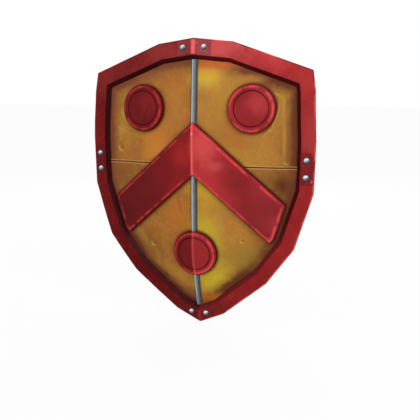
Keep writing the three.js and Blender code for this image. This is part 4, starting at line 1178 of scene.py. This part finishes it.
def opened_copy(name):
    """A copy of a CAD node's mesh, and the same open for editing with its doubles merged."""
    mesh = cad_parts[name].data.copy()
    form_of = bmesh.new()
    form_of.from_mesh(mesh)
    bmesh.ops.remove_doubles(form_of, verts=form_of.verts, dist=1e-5)
    return mesh, form_of


def place_in_list(face):
    """A triangle's place by its corners' numbers, as triangulating lists them in no fixed order."""
    a, b, c = sorted(corner.index for corner in face.verts)
    return (a * most_corners + b) * most_corners + c


fittings = [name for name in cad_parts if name.startswith(("rove_", "ring_eye"))]
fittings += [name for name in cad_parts
             if "_plate_" in name and name.startswith(("arm_strap", "hand_grip"))]
for name in fittings:
    blank, form_of = opened_copy(name)
    bmesh.ops.dissolve_limit(form_of, angle_limit=math.radians(1), verts=form_of.verts, edges=form_of.edges)
    sharp_edges = [edge for edge in form_of.edges
                   if len(edge.link_faces) == 2 and edge.calc_face_angle() > fitting_corner]
    bmesh.ops.bevel(form_of, geom=sharp_edges, offset=fitting_ease, segments=2, profile=0.5,
                    affect="EDGES", clamp_overlap=True)
    bmesh.ops.triangulate(form_of, faces=form_of.faces)
    form_of.verts.index_update()
    form_of.faces.sort(key=place_in_list)
    form_of.to_mesh(blank)
    form_of.free()
    joined_up(f"{name}_filed", blank, steel, [name])

# Arm pad.
# A stuffed cushion of brown leather, sewn in upright channels and nailed to the boards through a narrow
# flange. The forearm lies across it.
pad_base = 26.1
channel_pitch = 0.038
pad_voxel = 0.0042
pad_pressure = 4.0
pad_steps = 20
pad_swell = 0.006
pad_rise = 0.006
held_depth = 0.004
held_width = 0.0026
crease_depth = 0.0022
crease_width = 0.0024
shaded_width = 0.0045
foot_shade = 0.4

leather_grain, start, end = shader_group("leather_grain", {"Vector": (0, 0, 0), "Scale": 300.0},
                                         "Height", "Tone")
cells = node("ShaderNodeTexVoronoi", {"Vector": start["Vector"], "Scale": start["Scale"]},
             feature="DISTANCE_TO_EDGE").outputs["Distance"]
creases = noisy(start["Vector"], times(start["Scale"], 0.12), 4.0, 0.6)
linked(plus(ranged(cells, 0.0, 0.25), times(creases, 1.4)), end["Height"])
linked(ranged(creases, 0.3, 0.7), end["Tone"])


def leather(name, pale, dark, scale, roughness):
    """Dyed leather: pebbled grain, darker in its creases and paler where it is rubbed."""
    material, shader, place = finish_of(name, Specular_IOR_Level=0.25)
    grain = grouped(leather_grain, Vector=place, Scale=scale).outputs
    colour = mixed(grain["Tone"], dark, pale)
    colour = mixed(ranged(noisy(place, 14.0), 0.42, 0.7, 0.0, 0.6), colour, pale)
    # Darker where the edge mark is high: on the edges of straps, sleeve and flange, and as painted shade in
    # the pad's channels and at its foot.
    colour = mixed(ranged(mark(place, "edge"), 0.0, 1.0, 0.0, 0.75), colour, dark)
    dullness = ranged(grain["Tone"], 0.0, 1.0, roughness + 0.12, roughness - 0.08)
    finished(shader, colour, dullness, grain["Height"], 0.0005, 0.55)
    return material


def off_channel(x):
    """How far a point stands beside the nearest channel, in metres."""
    return abs(x - channel_pitch * round(x / channel_pitch))


def off_board(co):
    """How far a point stands behind the back of the boards, in metres."""
    return co.y - placed(co.x * 1000, pad_base, co.z * 1000).y


pad_leather = leather("pad_leather", (0.24, 0.095, 0.042), (0.075, 0.026, 0.013), 420.0, 0.6)

# The cushion is the CAD solid with even facets.
cushion, form_of = opened_copy("arm_pad")
form_of.to_mesh(cushion)
form_of.free()
pad = added("arm_cushion", cushion)
even = pad.modifiers.new("even", "REMESH")
even.mode = "VOXEL"
even.voxel_size = pad_voxel
pad.data = evaluated(pad)

# Its stuffing swells it between the channels.
held = pad.vertex_groups.new(name="held")
for vertex in pad.data.vertices:
    if off_board(vertex.co) < held_depth or off_channel(vertex.co.x) < held_width:
        held.add([vertex.index], 1.0, "REPLACE")
rest = [vertex.co.copy() for vertex in pad.data.vertices]
cloth = pad.modifiers.new("cloth", "CLOTH")
cloth.settings.use_pressure = True
cloth.settings.uniform_pressure_force = pad_pressure
cloth.settings.effector_weights.gravity = 0.0
cloth.settings.vertex_group_mass = "held"
cloth.settings.quality = 6
for step in range(1, pad_steps + 1):
    bpy.context.scene.frame_set(step)
pad.data = evaluated(pad)
bpy.context.scene.frame_set(1)
for vertex, before in zip(pad.data.vertices, rest):
    move = vertex.co - before
    if move.length > pad_swell:
        vertex.co = before + move * (pad_swell / move.length)

# The thread draws the leather in along each channel; painted shade darkens the channels and the foot.
fine_pad = pad.modifiers.new("fine", "SUBSURF")
fine_pad.levels = fine_pad.render_levels = 1
pad.data = evaluated(pad)
shaded = []
for vertex in pad.data.vertices:
    gap = off_channel(vertex.co.x)
    rise = max(0.0, min(1.0, (off_board(vertex.co) - pad_rise) / pad_rise))
    vertex.co.y -= rise * crease_depth * math.exp(-(gap / crease_width) ** 2)
    shaded.append(math.exp(-(gap / shaded_width) ** 2) * rise + (1 - rise) * foot_shade)
pad.data.attributes.new("edge", "FLOAT", "POINT").data.foreach_set("value", shaded)
pad.data.polygons.foreach_set("use_smooth", [True] * len(pad.data.polygons))
pad.data.materials.clear()
pad.data.materials.append(pad_leather)
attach(pad, "shield")
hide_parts("arm_pad")

# Seams of the pad.
# Waxed linen thread along each channel, and a round welt where the cushion meets its flange, held by small
# steel nails.
pad_offset = 38.0
pad_half_width = 95.0
pad_half_height = 74.0
pad_rounding = 0.55
channel_reach = 0.072
channel_steps = 60
thread_lift = 0.0002
welt_radius = 0.0021
welt_lift = 2.4
welt_inset = 0.4
flange_reach = 5.0
flange_under = 3.0
flange_thickness = 1.5
flange_edge = 1.3
nail_radius = 0.0021
nail_height = 0.0012
nail_reach = 2.6
nail_lift = 1.4

thread, shader, place = finish_of("linen_thread", Roughness=0.8)
twist = node("ShaderNodeTexWave", {"Vector": place, "Scale": 900.0}, bands_direction="DIAGONAL").outputs[1]
finished(shader, mixed(twist, (0.36, 0.25, 0.13), (0.56, 0.42, 0.25)), None, twist, 0.0002, 0.6)

stitching, start, end = geometry_tree("stitching", {"Pitch": 0.0, "Length": 0.0, "Thread": 0.0})
path_of = node("GeometryNodeMeshToCurve", {0: start["Geometry"]}).outputs[0]
along = node("GeometryNodeCurveToPoints", {"Curve": path_of, "Length": start["Pitch"]}, mode="LENGTH").outputs
ball = node("GeometryNodeMeshUVSphere", {"Segments": 8, "Rings": 6, "Radius": 1.0}, tree=stitching).outputs[0]
size = node("ShaderNodeCombineXYZ", {0: start["Thread"], 1: start["Thread"], 2: start["Length"]}).outputs[0]
stitches = node("GeometryNodeInstanceOnPoints", {"Points": along["Points"], "Instance": ball,
                                                 "Rotation": along["Rotation"], "Scale": size}).outputs[0]
surfaced(stitches, start["Material"], end)

round_bar, start, end = geometry_tree("round_bar", {"Thickness": 0.0})
path_of = node("GeometryNodeMeshToCurve", {0: start["Geometry"]}).outputs[0]
hoop = node("GeometryNodeCurvePrimitiveCircle", {"Resolution": 12, "Radius": start["Thickness"]},
            mode="RADIUS").outputs[0]
bar = node("GeometryNodeCurveToMesh", {"Curve": path_of, "Profile Curve": hoop,
                                       "Fill Caps": True}).outputs[0]
surfaced(bar, start["Material"], end)


def sewn(name, seams, pitch, length, radius):
    """Stitches along several lines of points, as one piece."""
    points, edges = [], []
    for seam in seams:
        edges += [(len(points) + i, len(points) + i + 1) for i in range(len(seam) - 1)]
        points += seam
    values = {"Pitch": pitch, "Length": length / 2, "Thread": radius, "Material": thread}
    joined_up(name, grown(name, points, edges, stitching, values), thread, [], sharp=180)


def hooped(name, points, radius, material):
    """A round bar along a closed line of points."""
    edges = [(i, (i + 1) % len(points)) for i in range(len(points))]
    return grown(name, points, edges, round_bar, {"Thickness": radius, "Material": material})


def pad_edge(grow, steps=30):
    """The plan of the pad's edge, corner to corner, moved outwards."""
    run = [(-1 + 2 * i / steps, -1) for i in range(steps)] + [(1, -1 + 2 * i / steps) for i in range(steps)]
    run += [(-u, -v) for u, v in run]
    return [Vector((pad_offset + (pad_half_width + grow) * u * math.sqrt(1 - pad_rounding * v * v / 2),
                    (pad_half_height + grow) * v * math.sqrt(1 - pad_rounding * u * u / 2))) for u, v in run]


surface = BVHTree.FromObject(pad, bpy.context.evaluated_depsgraph_get())
seams = []
for channel in range(-1, 4):
    seam = []
    for i in range(channel_steps + 1):
        z = -channel_reach + 2 * channel_reach * i / channel_steps
        hit = surface.ray_cast(Vector((channel * channel_pitch, 0.2, z)), Vector((0, -1, 0)))[0]
        if hit is not None and off_board(hit) > held_depth:
            seam.append(hit + Vector((0, thread_lift, 0)))
    seams.append(seam)
sewn("pad_stitches", seams, pitch=0.0062, length=0.0046, radius=0.00065)

welt_line = [placed(p.x, pad_base + welt_lift, p.y) for p in pad_edge(-welt_inset)]
joined_up("pad_welt", hooped("pad_welt", welt_line, welt_radius, pad_leather), pad_leather, [],
          sharp=180)
rings = [[placed(p.x, pad_base, p.y), placed(p.x, pad_base + flange_thickness, p.y),
          placed(q.x, pad_base + flange_edge, q.y), placed(q.x, pad_base, q.y)]
         for p, q in zip(pad_edge(-flange_under), pad_edge(flange_reach))]
points, faces = tube(rings, closed=True)
made_piece("pad_flange", points, faces, {"edge": [0.2, 0.2, 0.9, 0.9] * len(rings)}, pad_leather,
           [])
nail_spots = [(p.x, p.y) for p in pad_edge(nail_reach)[2::5]]
nails = dome_set("nails", nail_spots, pad_base + nail_lift, nail_radius, nail_height, steel, True)
joined_up("pad_nails", nails, steel, [])

# Arm strap and hand grip.
# Two bands of thick harness leather, edge-stitched, that arch from the boards. Their feet are riveted
# through steel plates.
straps = {
    "arm_strap": {"centre": 100.0, "width": 46.0, "thickness": 4.0, "span": 224.0, "rise": 98.0,
                  "foot": 36.0, "rivets": 11.5},
    "hand_grip": {"centre": -112.0, "width": 30.0, "thickness": 5.0, "span": 140.0, "rise": 56.0,
                  "foot": 34.0, "rivets": 7.5},
}
foot_steps = 6
arch_foot = 0.55
arch_crown = 0.95
edge_round = 1.4
edge_bulge = 0.3
worn_run = 3.0
stitch_inset = 3.4
stitch_lift = 0.1
harness = leather("harness_leather", (0.165, 0.062, 0.030), (0.040, 0.015, 0.009), 300.0, 0.5)


def strap_line(strap, steps=26):
    """The middle line of a strap as [height, depth]: foot, arch and foot."""
    half, low = strap["span"] / 2, pad_base + strap["thickness"] / 2
    high = low + strap["rise"]
    a, b = Vector((half, low)), Vector((half * arch_foot, low))
    c, d = Vector((half * arch_crown, high)), Vector((0, high))
    line = [Vector((half + strap["foot"] * (1 - i / foot_steps), low)) for i in range(foot_steps)]
    for i in range(steps + 1):
        t = i / steps
        line.append(a * (1 - t) ** 3 + b * 3 * t * (1 - t) ** 2 + c * 3 * t * t * (1 - t) + d * t ** 3)
    return line + [Vector((-p.x, p.y)) for p in line[-2::-1]]


def band_rings(line, centre, section):
    """Rings of a band about a middle line. The section is [across, off the middle line] in millimetres."""
    rings = []
    for i, p in enumerate(line):
        t = (line[min(i + 1, len(line) - 1)] - line[max(i - 1, 0)]).normalized()
        n = Vector((-t.y, t.x))
        rings.append([placed(centre + x, p.y + n.y * off, p.x + n.x * off) for x, off in section])
    return rings


def soft_section(half, thick):
    """A flat section with rounded edges and a slight crown, as [across, off]."""
    low_corner, high_corner = half - edge_round, half - edge_round * 0.4
    upper = [(half, edge_round - thick), (half + edge_bulge, 0.0), (half, thick - edge_round),
             (high_corner, thick - edge_round * 0.35), (low_corner, thick - 0.05)]
    upper += [(half * share, thick) for share in (0.72, 0.35, 0.0)]
    upper += [(-x, y) for x, y in upper[-2::-1]]
    lower = [(low_corner, -thick), (high_corner, edge_round * 0.35 - thick)]
    return upper + [(-x, y) for x, y in lower[::-1]] + lower


for name, strap in straps.items():
    line = strap_line(strap)
    half, thick = strap["width"] / 2, strap["thickness"] / 2
    section = soft_section(half, thick)
    points, faces = tube(band_rings(line, strap["centre"], section))
    worn = [max(0.0, min(1.0, (abs(x) - half + worn_run) / worn_run)) for x, off in section] * len(line)
    made_piece(f"{name}_leather", points, faces, {"edge": worn}, harness, [name])
    seams = []
    for off in (thick + stitch_lift, -thick - stitch_lift):
        for x in (half - stitch_inset, stitch_inset - half):
            rings = band_rings(line, strap["centre"], [(x, off)])
            seams.append([ring[0] for ring in rings[foot_steps:-foot_steps]])
    sewn(f"{name}_stitches", seams, pitch=0.0058, length=0.0044, radius=0.00055)

# Sleeve of the hand grip.
# Softer leather wrapped round the middle of the grip and sewn along the inside, gathered a little where the
# fist has held it.
sleeve_gap = 0.3
sleeve_wall = 3.0
sleeve_run = 74.0
sleeve_steps = 22
gather_depth = 0.035
lip_wear = 0.9
lip_shares = (0.9, 0.72)
sleeve_corners = (0.45, 0.6)
grip = straps["hand_grip"]
held_line = [p for p in strap_line(grip, 40) if abs(p.x) < sleeve_run / 2]
reach_x = grip["width"] / 2 + sleeve_gap + sleeve_wall
reach_y = grip["thickness"] / 2 + sleeve_gap + sleeve_wall
sleeve_section = []
for i in range(sleeve_steps):
    turn = 2 * math.pi * i / sleeve_steps
    c, s = math.cos(turn), math.sin(turn)
    sleeve_section.append((math.copysign(abs(c) ** sleeve_corners[0], c) * reach_x,
                           math.copysign(abs(s) ** sleeve_corners[1], s) * reach_y))
lip_section = [(x * lip_shares[0], y * lip_shares[1]) for x, y in sleeve_section]
lips = band_rings(held_line, grip["centre"], lip_section)
rings, worn = [lips[0]], [lip_wear]
for i, ring in enumerate(band_rings(held_line, grip["centre"], sleeve_section)):
    for k, point in enumerate(ring):
        middle = sum(ring, Vector()) / len(ring)
        gather = 0.5 + 0.5 * math.sin(i * 2.4 + 3 * noise.noise(point * 60))
        ring[k] = middle + (point - middle) * (1 - gather_depth * gather)
    rings.append(ring)
    worn.append(0.15 + 0.35 * (i % 3 == 0))
points, faces = tube(rings + [lips[-1]])
worn = [value for value in worn + [lip_wear] for i in range(sleeve_steps)]
made_piece("grip_sleeve", points, faces, {"edge": worn}, pad_leather, ["hand_grip_sleeve"],
           sharp=60)
seam = [ring[0] for ring in band_rings(held_line, grip["centre"], [(0.0, reach_y)])]
sewn("sleeve_stitches", [seam[1:-1]], pitch=0.0055, length=0.0042, radius=0.0007)

# Strap rivets.
# Steel rivets with low domed heads on the foot plates. Their tails are sunk in the front of the boards,
# under the gold.
strap_head_radius = 0.005
strap_head_height = 0.003
foot_plate = 2.0
fitting_gap = 0.3
points, facing = [], []
for strap in straps.values():
    seat = pad_base + strap["thickness"] + foot_plate + 2 * fitting_gap
    foot_middle = (strap["span"] + strap["foot"]) / 2
    for z in (foot_middle, -foot_middle):
        for sign in (-1, 1):
            x = strap["centre"] + sign * strap["rivets"]
            points.append(placed(x, seat, z))
            facing.append(outward(x, z, True))
heads = grown("strap_rivets", points, [], domes,
              {"Radius": strap_head_radius, "Height": strap_head_height, "Material": rivet_steel}, facing)
rivets = joined_up("strap_rivets", heads, rivet_steel,
                   [f"{name}_rivet_{i}" for name in straps for i in (1, 2, 3, 4)])
marked_for_highlight(rivets, points, strap_head_radius)

# Carrying rings.
# Two forged rings of round wire that hang free in the eyes. Each rides on a body of its own, so that it can
# swing.
ring_wire = 0.0026
ring_radius = 20.0
ring_spot = (196.0, 118.0)
ring_depth = 38.6
for side, sign in sides:
    turn_line = circle(sign * ring_spot[0], ring_spot[1] - ring_radius, ring_radius, 48)
    ring = hooped("ring", [placed(x, ring_depth, z) for x, z in turn_line], ring_wire, steel)
    joined_up(f"carrying_ring_{side}", ring, steel, [f"ring_{side}"], f"ring_{side}", 180)

# Floor, light and camera.
# A pale floor under the point, a white surround, soft light from the upper right, and the camera where the
# photograph was taken.
floor_reach = 30
floor_gap = 0.0002


def plainly_seen(tree):
    """1 where the camera sees a surface itself or mirrored or through glass, and 0 where it lights others."""
    ray = node("ShaderNodeLightPath", tree=tree).outputs
    return maths("MAXIMUM", ray["Is Camera Ray"],
                 maths("MAXIMUM", ray["Is Glossy Ray"], ray["Is Transmission Ray"]))


floor_mesh = bpy.data.meshes.new("floor")
floor_corners = [(floor_reach * u, floor_reach * v, -point_drop / 1000 - floor_gap)
                 for u, v in ((-1, -1), (1, -1), (1, 1), (-1, 1))]
floor_mesh.from_pydata(floor_corners, [], [(0, 1, 2, 3)])
added("floor", floor_mesh)
pale, shader, place = finish_of("pale_floor", Roughness=0.9)
shader.inputs["Base Color"].default_value = (0.82, 0.82, 0.82, 1)
tree = pale.node_tree
glow = node("ShaderNodeEmission", {"Color": (1, 1, 1, 1), "Strength": 1.0}, tree=tree).outputs[0]
blend = node("ShaderNodeMixShader", {0: times(plainly_seen(tree), 0.94), 1: shader.outputs[0], 2: glow})
linked(blend.outputs[0], tree.nodes["Material Output"].inputs["Surface"])
floor_mesh.materials.append(pale)

world = bpy.data.worlds.new("surround")
bpy.context.scene.world = world
world.use_nodes = True
tree = world.node_tree
tree.nodes.clear()
lamp = node("ShaderNodeBackground", {"Color": (1, 1, 1, 1), "Strength": 0.62}, tree=tree).outputs[0]
white = node("ShaderNodeBackground", {"Color": (1, 1, 1, 1), "Strength": 1.0}, tree=tree).outputs[0]
blend = node("ShaderNodeMixShader", {0: plainly_seen(tree), 1: lamp, 2: white}).outputs[0]
linked(blend, node("ShaderNodeOutputWorld", tree=tree).inputs["Surface"])

# Each lamp is [name, place, size, power], and is turned towards the middle of the shield.
for name, spot, size, power in (("key", (2.0, -1.6, 1.3), 1.4, 34.0),
                                ("fill", (-1.2, -2.2, 0.5), 1.8, 7.0),
                                ("back", (-0.8, 2.2, 1.2), 1.8, 24.0)):
    light = bpy.data.lights.new(name, "AREA")
    light.size = size
    light.energy = power
    lamp = added(name, light)
    lamp.location = spot
    lamp.rotation_euler = (-Vector(spot)).to_track_quat("-Z", "Y").to_euler()

lens = bpy.data.cameras.new("camera")
lens.sensor_width = 36.0
lens.lens = 51.43
camera = added("camera", lens)
camera.location = (0.5683, -1.3860, 0.2161)
camera.rotation_euler = (math.radians(79.14), 0.0, math.radians(21.28))
bpy.context.scene.camera = camera
bpy.context.scene.view_settings.view_transform = "Standard"
